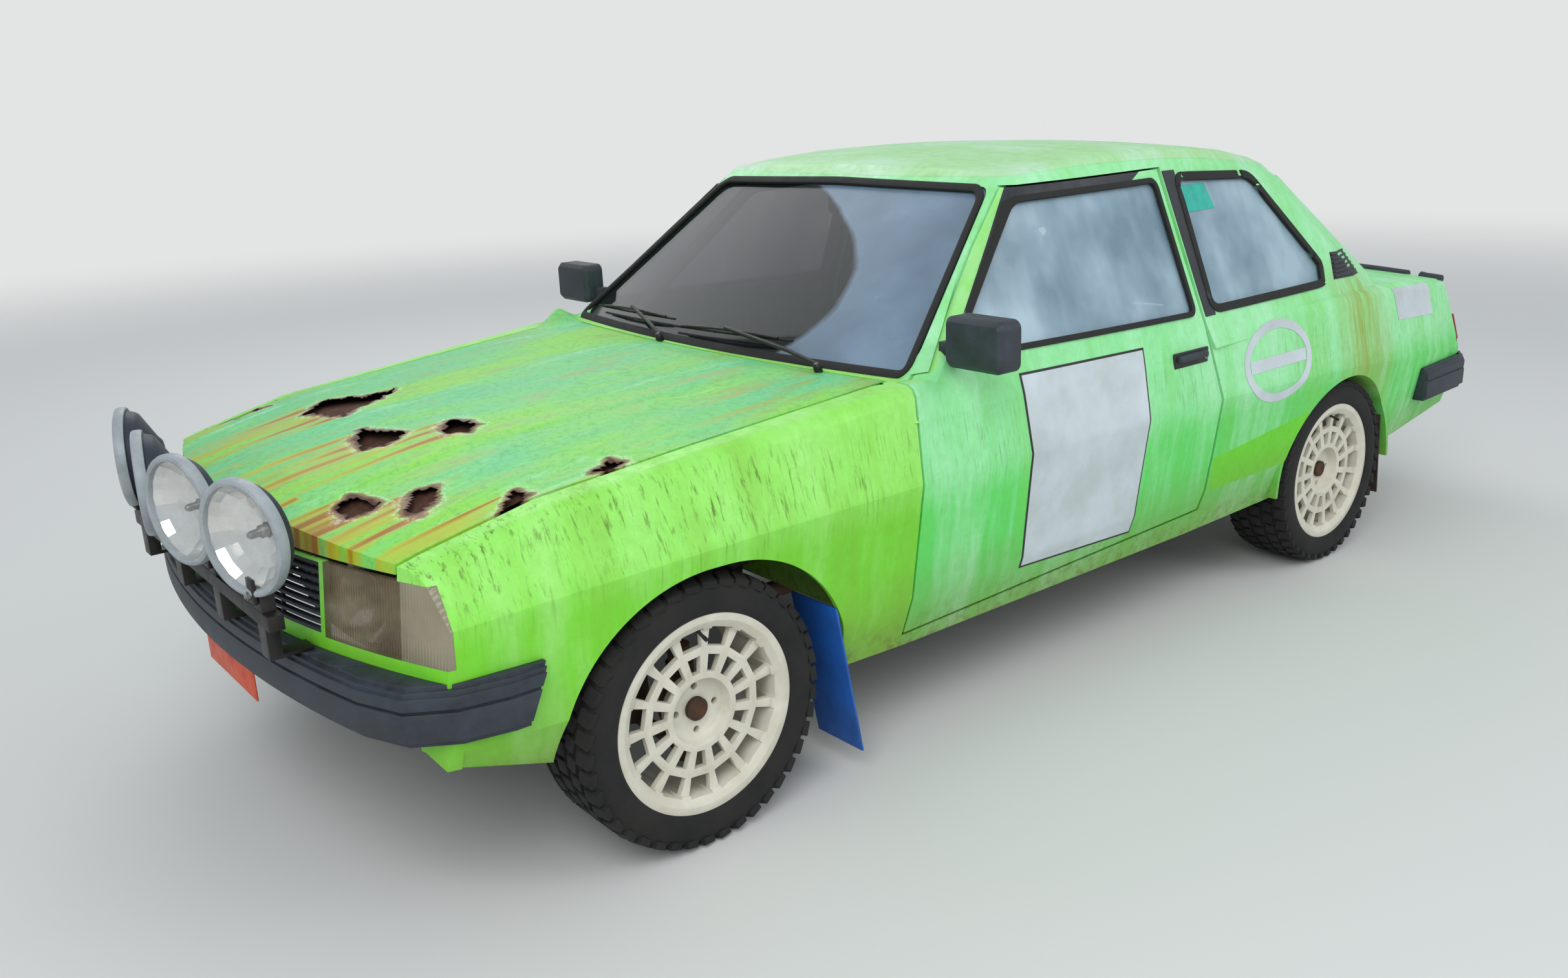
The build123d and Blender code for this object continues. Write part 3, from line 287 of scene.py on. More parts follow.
def woven_material(name, colour, other, thread_mm):
    """Cloth: warp and weft cross as two waves. Real threads are 0.5 mm; they are drawn wider, to show."""
    made, tree, place = new_material(name)
    warp, weft = (add(tree, "TexWave", {"Vector": place, "Scale": 314 / thread_mm}, bands_direction=axis)
                  for axis in "XZ")
    weave = add(tree, "Math", {0: warp, 1: weft}, operation="MULTIPLY")
    fade = add(tree, "TexNoise", {"Vector": place, "Scale": 7.0, "Detail": 5.0})
    share = add(tree, "Math", {0: weave, 1: fade}, operation="MULTIPLY")
    mixed = add(tree, "Mix", {0: share, 6: colour, 7: other}, data_type="RGBA")
    relief = add(tree, "Bump", {"Height": weave, "Strength": 0.5, "Distance": 0.001})
    return surfaced(made, {"Base Color": mixed, "Roughness": 0.95, "Sheen Weight": 0.3, "Normal": relief})


def weathered_bonnet(name):
    """Brush-painted enamel that has weathered in lengthwise streaks 60 mm wide, bleeds rust from its holes and
    is bare there."""
    made, tree, place = new_material(name)
    # Patterns: repeats per metre along X, Y and Z, detail, roughness and distortion
    streaks, zones, mottle = (
        add(tree, "TexNoise", {"Vector": add(tree, "Mapping", {"Vector": place, "Scale": repeats}), "Scale": 1.0,
                               "Detail": detail, "Roughness": roughness, "Distortion": distortion})
        for repeats, detail, roughness, distortion in (
            ((15.0, 2.4, 6.0), 9.0, 0.62, 0.5), ((4.5, 1.3, 3.0), 5.0, 0.6, 0.0), ((60.0, 60.0, 60.0), 6.0, 0.75, 0.0),
        )
    )
    flakes = add(tree, "TexVoronoi", {"Vector": place, "Scale": 70.0}, feature="DISTANCE_TO_EDGE")
    run = add(tree, "Attribute", attribute_name="runs").outputs["Fac"]
    rot = add(tree, "Attribute", attribute_name="rust").outputs["Fac"]
    ragged = add(tree, "Math", {0: mottle, 1: 0.5, 2: rot}, operation="MULTIPLY_ADD")
    lifted = overlap(tree, ((ragged, 0.34, 0.46, 0.0), (flakes, 0.05, 0.12, 0.0)))
    # Two greens with pale and dull streaks, then rust runs. Round a hole the paint lifts in cracked flakes, white
    # underneath, before it stains and the steel goes
    colour = layered(tree, "#66C983", (
        (zones, 0.40, 0.58, 1.0, "#85D440"), (streaks, 0.57, 0.74, 0.85, "#B4E8BC"),
        (streaks, 0.47, 0.34, 0.8, "#8CA628"), (mottle, 0.48, 0.70, 0.6, "#3C9A52"), (run, 0.03, 0.40, 0.95, "#B4B41C"),
        (run, 0.34, 0.66, 0.9, "#96580C"), (lifted, 0.0, 1.0, 0.405, "#D6E6C8"), (ragged, 0.58, 0.80, 0.9, "#7E5A34"),
        (ragged, 0.95, 1.15, 1.0, "#4C2A1E"),
    ))
    rough = add(tree, "MapRange", {0: streaks, 1: 0.3, 2: 0.7, 3: 0.36, 4: 0.66})
    relief = add(tree, "Bump", {"Height": streaks, "Strength": 0.3, "Distance": 0.002})
    fine = add(tree, "Bump", {"Height": mottle, "Strength": 0.35, "Distance": 0.001, "Normal": relief})
    return surfaced(made, {"Base Color": colour, "Roughness": rough, "Normal": fine})


# Enamel, brushed on by hand: streaks of two greens that have gone matt, with rust bleeding over them
bonnet_enamel = weathered_bonnet("streaked_bonnet_enamel")
# Enamel, sprayed: chalky and half matt, yellow-green with dark algae runs
paint_lime = stained_paint("chalked_lime_enamel", "#90E45C", "#74D626", "#A8EC84", "#80BC32", 1.0)
# Enamel, sprayed: the doors' bluer green, with paler chalk
paint_mint = stained_paint("chalked_mint_enamel", "#8CE69A", "#58D860", "#B4F2C2", "#74D24C", 0.55)
# Enamel, sprayed and touched up: the quarters' green, with a brighter patch and a brown stain
paint_quarter = stained_paint("stained_quarter_enamel", "#96E8A2", "#5AD65E", "#B8F2C8", "#74D24C", 0.45, True)
# Enamel on the roof: the palest green, without runs, paled by a painted sheen of sky light on its top
paint_roof = stained_paint("roof_enamel_painted_sheen", "#ACE0A4", "#ACE0A4", "#CBE8DA", "#9CD076", 0.0)
# Enamel, sprayed on cast wheels: cream, half glossy, browned by brake dust
wheel_paint = worn_finish("cream_wheel_enamel", "#DEDCCF", "#AFA58C", 70, spread=0.6)
# Enamel, brushed on steel tube: cream and rather glossy
cage_paint = worn_finish("cream_tube_enamel", "#DCD8C4", "#B7AF95", 60, 0.35)
# Enamel on pressed steel: orange-red, faded to half matt
plate_paint = worn_finish("orange_plate_enamel", "#D9542B", "#B03C20", 45, 0.45)
# Lacquer on steel: black and half glossy, brown where it has chipped
black_paint = worn_finish("chipped_black_paint", "#111112", "#241C18", 40)
# Lacquer, sprayed: black greyed by weather
frame_black = worn_finish("weathered_frame_black", "#202226", "#35383D", 45, 0.5, 0.2)
# The same lacquer and the body's enamel meet on the door's window frame
door_frame = door_frame_paint("two_tone_door_frame")
# Polyurethane, moulded with a spark-eroded grain: blue-black, greyed where the sun reached it
bumper_plastic = worn_finish("sun_greyed_plastic", "#22272E", "#3C444E", 60, 0.5, 0.35, 2)
# ABS, moulded: navy, half matt
lamp_shell = worn_finish("navy_moulded_plastic", "#1B2233", "#343B48", 60, 0.45, grain_mm=2)
# ABS, moulded: pale grey, dulled by road dust
lamp_ring = worn_finish("pale_lamp_ring", "#A3AAAE", "#7C8488", 50, grain_mm=3)
# Polypropylene, moulded with a leather grain: near black and matt
grained_plastic = worn_finish("grained_trim_plastic", "#1E1E1F", "#2F2E2C", 50, 0.6, 0.5, 1.4)
# Rubber, extruded: matt black, greenish where moss holds on
rubber_seal = worn_finish("window_rubber", "#121313", "#24261F", 45, 0.7, grain_mm=3)
# Rubber, moulded: grey with road dust, in patches
tyre_rubber = worn_finish("tyre_rubber", "#101011", "#2C2A27", 110, 0.85, 0.4, 3.3)
# Polyethylene sheet, rolled: strong blue, scuffed to half matt
blue_sheet = worn_finish("blue_flap_sheet", "#1A5FB8", "#16488A", 80, 0.5, grain_mm=3)
# Rubber sheet, rolled: brown with dried mud
brown_sheet = worn_finish("muddy_rubber_sheet", "#2A1F19", "#4A3A2C", 45, 0.85, 0.4)
# Vinyl film, calendered: white, washed with grey-green dirt
white_vinyl = worn_finish("white_vinyl", "#CFD9E0", "#A2ABA4", 160, bump=0.08, spread=0.5)
# Vinyl film, calendered: black and half glossy
black_vinyl = worn_finish("black_vinyl", "#161616", "#24231F", 60)
# Vinyl film, calendered: turquoise, seen by the light on its glass
turquoise_vinyl = worn_finish("turquoise_vinyl", "#22B8A4", "#1F9484", 40, 0.35)
# Polyester, woven: charcoal, matt, with a soft sheen at its edges
seat_cloth = woven_material("woven_seat_cloth", "#1C1D21", "#4A4B50", 2.4)
# Bitumen coating, sprayed: black-brown and pebbled
under_seal = worn_finish("stone_chip_coating", "#2B2A26", "#4A3B2A", 50, 0.9, 0.6, 8)
# Steel, zinc-plated: dull silver with grey patches
dull_steel = worn_finish("dull_zinc_steel", "#9A9A96", "#6A6660", 17, 0.35, 0.2, metallic=1.0)
# Aluminium, vapour-coated on glass: a near mirror
mirror_metal = worn_finish("aluminised_reflector", "#E8E8E6", "#C9C6BC", 60, 0.08, 0.05, metallic=1.0)
# Iron, cast: dark and rough, with brown oil
cast_metal = worn_finish("oily_cast_iron", "#3A3632", "#5C4A36", 50, 0.6, 0.4, metallic=0.6)
# Steel, painted black and rusting through: black-brown in patches
rusty_chassis = worn_finish("rusty_chassis_steel", "#2A2522", "#6A4326", 33, 0.8, metallic=0.2)
# Steel, rolled: rusted all over to a dull brown
exhaust_steel = worn_finish("rusted_exhaust_steel", "#6B5A4A", "#7A4A28", 25, 0.7, metallic=0.5)
# Steel, bare and scaling: dark red-brown, rough
bare_rust = worn_finish("rusted_through_steel", "#3A231A", "#6B4430", 17, 0.95, 0.9, 7)
# Laminated glass, bent: dark where wiped, and pale blue-grey elsewhere, which is dust with a painted sky reflection
screen_glass = glass_with_painted_reflection("screen_glass_painted_reflection")
# Toughened glass, tinted: nearly black, clouded by dust
rear_glass = glass_material("tinted_rear_glass", "#22282D", 0.80, 0.05, "#4A545D", 0.92)
# Toughened glass: clear, under a film of pale blue-grey dust
side_glass = glass_material("dusty_side_glass", "#93B0C2", 0.46, 0.12, "#B8D2E0", 0.66)
# Glass, pressed with broad flutes: clear and glossy
lens_glass = fluted_glass("clear_lamp_glass", "#DDE4E6", 0.04, "#F0F2F0", 24, 0.10)
# Glass, pressed with fine flutes: yellowed, with the indicator's paler end
headlamp_glass = fluted_glass("hazed_headlamp_glass", "#6E6048", 0.52, "#8E8468", 7, 0.74, 0.668, "#A89F86")
# Acrylic, moulded: deep red and glossy
red_lens = worn_finish("red_lamp_lens", "#8E1A16", "#6B1412", 30, 0.15, 0.3, 6)

slot_finish = {
    "underbody": under_seal, "lime_paint": paint_lime, "mint_paint": paint_mint, "black_plastic": bumper_plastic,
    "lamp_housing": lamp_shell, "black_metal": black_paint, "clear_glass": side_glass, "lamp_glass": headlamp_glass,
    "red_lens": red_lens, "plate_paint": plate_paint, "blue_flap": blue_sheet, "dark_flap": brown_sheet,
    "cage_paint": cage_paint, "trim_plastic": grained_plastic, "seat_fabric": seat_cloth,
    "engine_metal": cast_metal, "chassis_metal": rusty_chassis, "exhaust_steel": exhaust_steel,
    "wheel_paint": wheel_paint, "tyre_rubber": tyre_rubber,
}
own_finish = {"windscreen": screen_glass, "roof_panel": paint_roof, "driving_lamp_lenses": lens_glass,
              "rear_window": rear_glass, "side_left": paint_quarter, "side_right": paint_quarter}


def give(piece, *materials):
    piece.data.materials.clear()
    for material in materials:
        piece.data.materials.append(material)


def finish_of(node):
    return own_finish.get(node, slot_finish[node_slot[node]])


for node, piece in nodes.items():
    give(piece, finish_of(node))


def alone(piece):
    """Makes this the one selected, active object."""
    bpy.ops.object.select_all(action="DESELECT")
    piece.select_set(True)
    bpy.context.view_layer.objects.active = piece


def select_all():
    bpy.ops.mesh.select_all(action="SELECT")


@contextmanager
def editing(piece):
    """Edit mode on this piece, at first with all of it selected."""
    alone(piece)
    bpy.ops.object.mode_set(mode="EDIT")
    select_all()
    yield
    bpy.ops.object.mode_set(mode="OBJECT")


def started(kind, name, **settings):
    """A new piece from one of Blender's primitive meshes."""
    bpy.ops.object.select_all(action="DESELECT")
    getattr(bpy.ops.mesh, f"primitive_{kind}_add")(**settings)
    piece = bpy.context.object
    piece.name = name
    return piece


def choose(piece, kind, test):
    """In edit mode, selects the verts, edges or faces that pass the test, and nothing else."""
    bpy.ops.mesh.select_mode(type={"verts": "VERT", "edges": "EDGE", "faces": "FACE"}[kind])
    bpy.ops.mesh.select_all(action="DESELECT")
    mesh = bmesh.from_edit_mesh(piece.data)
    for item in getattr(mesh, kind):
        if test(item):
            item.select_set(True)
    mesh.select_flush_mode()
    bmesh.update_edit_mesh(piece.data)


def apply(piece, kind, **settings):
    """Adds a modifier with its settings, and applies it."""
    alone(piece)
    modifier = piece.modifiers.new(kind.lower(), kind)
    for key, value in settings.items():
        setattr(modifier, key, value)
    bpy.ops.object.modifier_apply(modifier=modifier.name)


def facing_out(piece):
    """Welds a piece and turns its faces outward."""
    with editing(piece):
        bpy.ops.mesh.remove_doubles(threshold=0.00001)
        bpy.ops.mesh.normals_make_consistent(inside=False)


def done(piece, body, slot, *materials, smooth=30):
    """Fixes a finished piece in place, on its body."""
    alone(piece)
    bpy.ops.object.transform_apply(location=True, rotation=True, scale=True)
    bpy.ops.object.shade_smooth_by_angle(angle=math.radians(smooth))
    give(piece, *materials)
    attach(piece, body)
    return piece


formed = {}


def softened(node, width, angle=28, smooth=16, reshape=None):
    """A rigid node as it is made, with its edges broken as pressed or moulded edges are."""
    piece = bpy.data.objects.new(node + "_formed", nodes[node].data.copy())
    bpy.context.scene.collection.objects.link(piece)
    with editing(piece):
        bpy.ops.mesh.remove_doubles(threshold=0.00002)
        bpy.ops.mesh.dissolve_limited(angle_limit=math.radians(0.6))
    if reshape:
        reshape(piece, node)
    apply(piece, "BEVEL", width=width, segments=2, limit_method="ANGLE", angle_limit=math.radians(angle))
    done(piece, body_of[node], node_slot[node], finish_of(node), smooth=smooth)
    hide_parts(node)
    formed[node] = piece


def turned(name, profile, centre, axis, steps=48):
    """A turned piece. Its profile holds millimetres along the axis and from it: both ends on it, or all off it."""
    axis = Vector(axis).normalized()
    side = axis.orthogonal().normalized()
    centre = Vector(centre)
    last = len(profile) - 1
    piece = started("circle", name, vertices=len(profile), fill_type="NOTHING")
    for vertex, (along, radius) in zip(piece.data.vertices, profile):
        vertex.co = centre + axis * (along / 1000) + side * (radius / 1000)
    with editing(piece):
        if profile[0][1] == 0:
            choose(piece, "edges", lambda edge: {v.index for v in edge.verts} == {0, last})
            bpy.ops.mesh.delete(type="EDGE")
            bpy.ops.mesh.select_mode(type="VERT")
        select_all()
        bpy.ops.mesh.spin(steps=steps, angle=2 * math.pi, center=centre, axis=axis)
        select_all()
        bpy.ops.mesh.remove_doubles(threshold=0.00002)
        bpy.ops.mesh.normals_make_consistent(inside=False)
    return piece


def grown(corners, amount):
    """A convex outline with each side moved out by amount."""
    pairs = list(zip(corners, corners[1:] + corners[:1]))
    turn = sum(ax * by - bx * ay for (ax, ay), (bx, by) in pairs)
    lines = []
    for start, end in pairs:
        start, along = Vector(start), (Vector(end) - Vector(start)).normalized()
        out = Vector((along.y, -along.x)) * (1 if turn > 0 else -1)
        lines.append((start + out * amount, along))
    moved = []
    for i, (q, e) in enumerate(lines):
        p, d = lines[i - 1]
        share = ((q.x - p.x) * e.y - (q.y - p.y) * e.x) / (d.x * e.y - d.y * e.x)
        moved.append(tuple(p + d * share))
    return moved


def seen(view, across, height):
    """A point of a side view (x, -x) or of a front or rear view (y, -y), well outside the car."""
    return {"x": (1.3, across, height), "-x": (-1.3, across, height),
            "y": (across, -3.0, height), "-y": (across, 3.0, height)}[view]


def thrown(piece, view, target):
    """Throws a flat outline along the view onto the target's skin."""
    sideways = view[-1] == "x"
    negative = sideways != view.startswith("-")
    apply(piece, "SHRINKWRAP", wrap_method="PROJECT", target=target, use_project_x=sideways,
          use_project_y=not sideways, use_negative_direction=negative, use_positive_direction=not negative)


def band(name, corners, view, out, inward, rounding):
    """A rubber seal round an opening of the glasshouse: it covers the panel by out and the glass by inward."""
    outline = grown(corners, out)
    piece = started("circle", name, vertices=len(outline), fill_type="NGON")
    for vertex, corner in zip(piece.data.vertices, outline):
        vertex.co = seen(view, *corner)
    with editing(piece):
        bpy.ops.mesh.delete(type="ONLY_FACE")
        select_all()
        bpy.ops.mesh.subdivide(number_cuts=9)
        select_all()
        bpy.ops.mesh.edge_face_add()
        choose(piece, "verts", lambda vertex: vertex.index < len(outline))
        bpy.ops.mesh.bevel(offset=rounding, segments=6, affect="VERTICES")
        bpy.ops.mesh.select_mode(type="FACE")
        select_all()
        bpy.ops.mesh.inset(thickness=out + inward, use_even_offset=True)
        choose(piece, "faces", lambda face: len(face.verts) > 8)
        bpy.ops.mesh.delete(type="FACE")
    thrown(piece, view, glasshouse)
    apply(piece, "SOLIDIFY", thickness=0.010, offset=0)
    facing_out(piece)
    apply(piece, "BEVEL", width=0.0025, segments=2, limit_method="ANGLE", angle_limit=math.radians(50))
    return piece


def patch(name, corners, view, target, cuts, proud=0.0, gauge=0.0008):
    """A thin sheet of four corners laid on the target's skin, and then moved out by proud."""
    piece = started("plane", name, size=1)
    for index, corner in zip((0, 1, 3, 2), corners):
        piece.data.vertices[index].co = seen(view, *corner)
    with editing(piece):
        bpy.ops.mesh.subdivide(number_cuts=cuts)
    thrown(piece, view, target)
    for vertex in piece.data.vertices:
        vertex.co.x += -proud if view == "-x" else proud
    apply(piece, "SOLIDIFY", thickness=gauge, offset=0)
    facing_out(piece)
    return piece


def rounded_block(name, size, centre, bevel, segments=3):
    piece = started("cube", name, size=1)
    for vertex in piece.data.vertices:
        vertex.co = Vector(centre) + Vector([vertex.co[i] * size[i] for i in range(3)])
    apply(piece, "BEVEL", width=bevel, segments=segments)
    return piece


def rod(name, points, width):
    """A round bar along points."""
    line = bpy.data.curves.new(name, "CURVE")
    line.dimensions = "3D"
    run = line.splines.new("POLY")
    run.points.add(len(points) - 1)
    for point, place in zip(run.points, points):
        point.co = (*place, 1)
    line.bevel_depth = width / 2
    line.bevel_resolution = 3
    line.use_fill_caps = True
    made = bpy.data.objects.new(name, line)
    bpy.context.scene.collection.objects.link(made)
    alone(made)
    bpy.ops.object.convert(target="MESH")
    return bpy.context.object


def skin_tree(piece):
    """The piece's skin, to cast rays at."""
    return BVHTree.FromPolygons([v.co for v in piece.data.vertices], [p.vertices for p in piece.data.polygons])


# Skin of the glasshouse, as a helper to lay seals and trim on. Columns: X and distance behind the front axle
# at belt_z, then the same under the roof
belt_z, roof_z = 0.880, 1.340
glasshouse_rows = {
    "screen_centre": (0, 0.560, 0, 1.152), "screen_corner": (0.744, 0.628, 0.533, 1.176),
    "pillar": (0.787, 0.676, 0.594, 1.222), "side_middle": (0.794, 1.740, 0.606, 1.740),
    "side_rear": (0.748, 2.700, 0.556, 2.290), "rear_corner": (0.694, 2.872, 0.516, 2.352),
    "rear_centre": (0, 2.958, 0, 2.396),
}


def arc(start, middle, end):
    """24 points on the circle through three points, without the last."""
    (ax, ay), (bx, by), (cx, cy) = start, middle, end
    d = 2 * (ax * (by - cy) + bx * (cy - ay) + cx * (ay - by))
    a, b, c = ax**2 + ay**2, bx**2 + by**2, cx**2 + cy**2
    ux = (a * (by - cy) + b * (cy - ay) + c * (ay - by)) / d
    uy = (a * (cx - bx) + b * (ax - cx) + c * (bx - ax)) / d
    first, by_middle, last = (math.atan2(y - uy, x - ux) for x, y in (start, middle, end))
    turn = (last - first) % (2 * math.pi)
    if (by_middle - first) % (2 * math.pi) > turn:
        turn -= 2 * math.pi
    radius = math.hypot(ax - ux, ay - uy)
    angles = [first + turn * i / 24 for i in range(24)]
    return [(ux + radius * math.cos(angle), uy + radius * math.sin(angle)) for angle in angles]


def glasshouse_loop(z):
    """The glasshouse's plan outline at a height."""
    share = (z - belt_z) / (roof_z - belt_z)
    point = {name: (x + (top_x - x) * share, behind(y + (top_y - y) * share))
             for name, (x, y, top_x, top_y) in glasshouse_rows.items()}
    other = {name: (-x, y) for name, (x, y) in point.items()}
    loop = arc(other["screen_corner"], point["screen_centre"], point["screen_corner"]) + [point["screen_corner"]]
    loop += arc(point["pillar"], point["side_middle"], point["side_rear"]) + [point["side_rear"]]
    loop += arc(point["rear_corner"], point["rear_centre"], other["rear_corner"]) + [other["rear_corner"]]
    loop += arc(other["side_rear"], other["side_middle"], other["pillar"]) + [other["pillar"]]
    return [(x, y, z) for x, y in loop]


low_loop, high_loop = glasshouse_loop(0.82), glasshouse_loop(1.42)
glasshouse = started("cylinder", "glasshouse_helper", vertices=len(low_loop))
for index, (low, high) in enumerate(zip(low_loop, high_loop)):
    glasshouse.data.vertices[2 * index].co = low
    glasshouse.data.vertices[2 * index + 1].co = high
facing_out(glasshouse)
glasshouse_tree = skin_tree(glasshouse)


def on_screen(x, z, proud):
    """A point of the windscreen's outer face, lifted off it by proud."""
    place, normal, _, _ = glasshouse_tree.ray_cast(Vector((x, -4, z)), Vector((0, 1, 0)))
    return place + normal * proud


def flush_belt(piece, node):
    """Draws the panel in where it stands proud below the belt, so that the side is one slope up to the windows."""
    flush_z, belt_top, lean = 0.805, 0.89, 0.2
    tree = skin_tree(nodes[node])
    for vertex in piece.data.vertices:
        x, y, z = vertex.co
        if flush_z + 0.003 < z < belt_top and abs(x) > 0.77:
            sign = 1 if x > 0 else -1
            below = tree.ray_cast(Vector((2 * sign, y, flush_z)), Vector((-sign, 0, 0)))[0]
            if below is not None:
                vertex.co.x = sign * min(abs(x), abs(below.x) - lean * (z - flush_z))


def sloped_valance(piece, _):
    """Lifts the wing's front bottom corner, so that the valance slopes up to the bumper."""
    top_z, reach, lift = 0.405, 0.08, 0.042
    for vertex in piece.data.vertices:
        _, y, z = vertex.co
        if y < behind(-0.50) and z < top_z:
            vertex.co.z += lift * min(1.0, (top_z - z) / reach)


# Pressed and moulded parts, with their edges broken. A door's window frame starts above window_foot_z
window_foot_z = 0.899
for node in ("roof_panel", "nose_panel", "boot_lid", "tail_panel", "scuttle", "rear_deck"):
    softened(node, 0.0022)
for side, sign, view in sides:
    softened("side_" + side, 0.0022, reshape=flush_belt)
    softened("front_wing_" + side, 0.0022, reshape=sloped_valance)
    softened("door_" + side, 0.0022, reshape=flush_belt)
    door = formed["door_" + side]
    give(door, paint_mint, door_frame)
    for face in door.data.polygons:
        if min(door.data.vertices[i].co.z for i in face.vertices) > window_foot_z:
            face.material_index = 1
for width, smooth, some in (
    (0.0045, 35, ("front_bumper", "rear_bumper")),
    (0.003, 35, ("mirror_left", "mirror_right")),
    (0.0018, 35, ("number_plate", "lamp_bar", "dashboard", "front_mudflaps", "rear_mudflaps", "steering_wheel")),
    (0.0012, 30, ("grille", "engine_block", "inner_wings")),
):
    for node in some:
        softened(node, width, smooth=smooth)

# Window seals and the black trim of the glasshouse
door_window = side_view((0.748, 0.932), (1.122, 1.268), (1.704, 1.278), (1.712, 0.916))
quarter_window = side_view((1.802, 0.922), (1.808, 1.276), (2.214, 1.256), (2.464, 0.976), (2.440, 0.920))
screen_window = [(-0.720, 0.903), (0.720, 0.903), (0.543, 1.292), (0, 1.302), (-0.543, 1.292)]
rear_window = [(-0.622, 0.930), (0.622, 0.930), (0.478, 1.258), (-0.478, 1.258)]
pillar_trim = side_view((1.757, 0.905), (1.806, 0.905), (1.806, 1.296), (1.748, 1.296))
for side, sign, view in sides:
    done(band("door_window_seal_" + side, door_window, view, 0.004, 0.010, 0.03), "door_" + side, "black_plastic",
         rubber_seal)
    done(band("quarter_window_seal_" + side, quarter_window, view, 0.014, 0.008, 0.05), "body", "black_plastic",
         rubber_seal)
    done(patch("pillar_trim_" + side, pillar_trim, view, glasshouse, 7, gauge=0.005), "body", "black_metal",
         frame_black)
done(band("windscreen_seal", screen_window, "y", 0.006, 0.010, 0.04), "body", "black_plastic", rubber_seal)
done(band("rear_window_seal", rear_window, "-y", 0.008, 0.009, 0.05), "body", "black_plastic", rubber_seal)

# Tyres: a carcass turned from the real section, with blocks round its tread
block_count, block_length = 42, 0.033
half = tyre_half * 1000
tyre_section = [(-71, 198), (-80, 206), (-95.5, 223), (-98.5, 226), (half * -0.985, 243), (-half, 258),
                (half * -0.975, 272), (half * -0.93, 284), (-88, 291.5), (-60, 294)]
tyre_section += [(-along, radius) for along, radius in reversed(tyre_section)]
valve_profile = [(0, 0), (0, 4), (22, 3.5), (26, 4.5), (36, 4.5), (37, 0)]
# Rows of blocks: offset from the tread's middle, shift round it in blocks, width, depth, how far the row lies
# under the tread's top, and the turn that lays a shoulder block over the edge
tread_rows = [(-0.084, 0.5, 0.036, 0.016, 0.0035, -0.24), (-0.044, 0.0, 0.030, 0.012, 0.0, 0.0),
              (0.0, 0.5, 0.034, 0.012, 0.0, 0.0), (0.044, 0.0, 0.030, 0.012, 0.0, 0.0),
              (0.084, 0.5, 0.036, 0.016, 0.0035, 0.24)]
for wheel, x, y in (("front_left", track_half, axle_y), ("front_right", -track_half, axle_y),
                    ("rear_left", track_half, rear_axle_y), ("rear_right", -track_half, rear_axle_y)):
    outward = 1 if x > 0 else -1
    hub = Vector((x, y, axle_z))
    tyre = turned("tyre_carcass_" + wheel, tyre_section, hub, (outward, 0, 0), 96)
    blocks = started("cube", "tread_blocks_" + wheel, size=1)
    apply(blocks, "BEVEL", width=0.06, segments=1)
    mesh = bmesh.new()
    for row, (offset, shift, width, depth, drop, roll) in enumerate(tread_rows):
        slant = math.copysign(0.24, -offset) if offset else 0.0
        laid = (Matrix.Translation((offset, 0, axle_z - 0.0005 - depth / 2 - drop)) @ Matrix.Rotation(roll, 4, "Y")
                @ Matrix.Rotation(slant, 4, "Z") @ Matrix.Diagonal((width, block_length, depth, 1)))
        for index in range(block_count):
            jitter = 0.03 * noise.noise(Vector((index * 3.1, row * 7.7, 1.3)))
            angle = 2 * math.pi * (index + shift + jitter) / block_count
            block = blocks.data.copy()
            block.transform(Matrix.Translation(hub) @ Matrix.Rotation(angle, 4, "X") @ laid)
            mesh.from_mesh(block)
            bpy.data.meshes.remove(block)
    mesh.to_mesh(blocks.data)
    mesh.free()
    done(tyre, "wheel_" + wheel, "tyre_rubber", tyre_rubber, smooth=40)
    done(blocks, "wheel_" + wheel, "tyre_rubber", tyre_rubber, smooth=20)
    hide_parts("tyre_" + wheel)
    softened("rim_" + wheel, 0.0016, angle=30, smooth=35)
    done(turned("valve_stem_" + wheel, valve_profile, hub + Vector((outward * 0.072, 0, 0.184)), (outward, 0, -0.35),
                16), "wheel_" + wheel, "tyre_rubber", rubber_seal)

# Driving lamps: X and yaw of each, then its parts with slot, finish, steps, smoothing angle and profile
lamp_z, lamp_radius = 0.787, 0.115
lamps = [(-0.417, -20), (-0.139, -15), (0.139, 15), (0.417, 20)]
lamp_parts = (
    ("bowl", "lamp_housing", lamp_shell, 56, 32, [
        (-90, 0), (-90, 22), (-88, 31), (-80, 40), (-60, 73), (-46, 96), (-40, 100.5), (-26, 105.5), (-22, 112.5),
        (-18.5, 112.5), (-18.5, 103), (-22, 101), (-46, 85), (-66, 52), (-72, 0)]),
    ("ring", "lamp_housing", lamp_ring, 72, 32, [
        (-24, 106.5), (-23, 113.5), (-18, 115), (-8, 115), (-2, 112.5), (0, 107), (-2, 101.5), (-7, 99.5),
        (-12, 99.5), (-14, 103)]),
    ("reflector", "lamp_housing", mirror_metal, 18, 12, [
        (-10.5, 101.5), (-12, 101.5), (-30, 90), (-47, 70), (-58, 46), (-63, 18), (-62, 14), (-60, 18), (-55, 46),
        (-44, 70), (-27, 90)]),
    ("bulb", "lamp_housing", dull_steel, 20, 30, [
        (-66, 0), (-66, 13), (-50, 13), (-46, 8), (-28, 8), (-22, 5), (-20, 0)]),
    ("glass", "lamp_glass", lens_glass, 72, 40, [
        (-9.5, 0), (-9.5, 45), (-10.5, 85), (-12, 101), (-8.5, 101.2), (-5.5, 85), (-3.5, 45), (-3, 0)]),
)
bolt_profile = [(0, 0), (0, 9), (6, 9), (6.5, 6), (10, 5.5), (11, 0)]
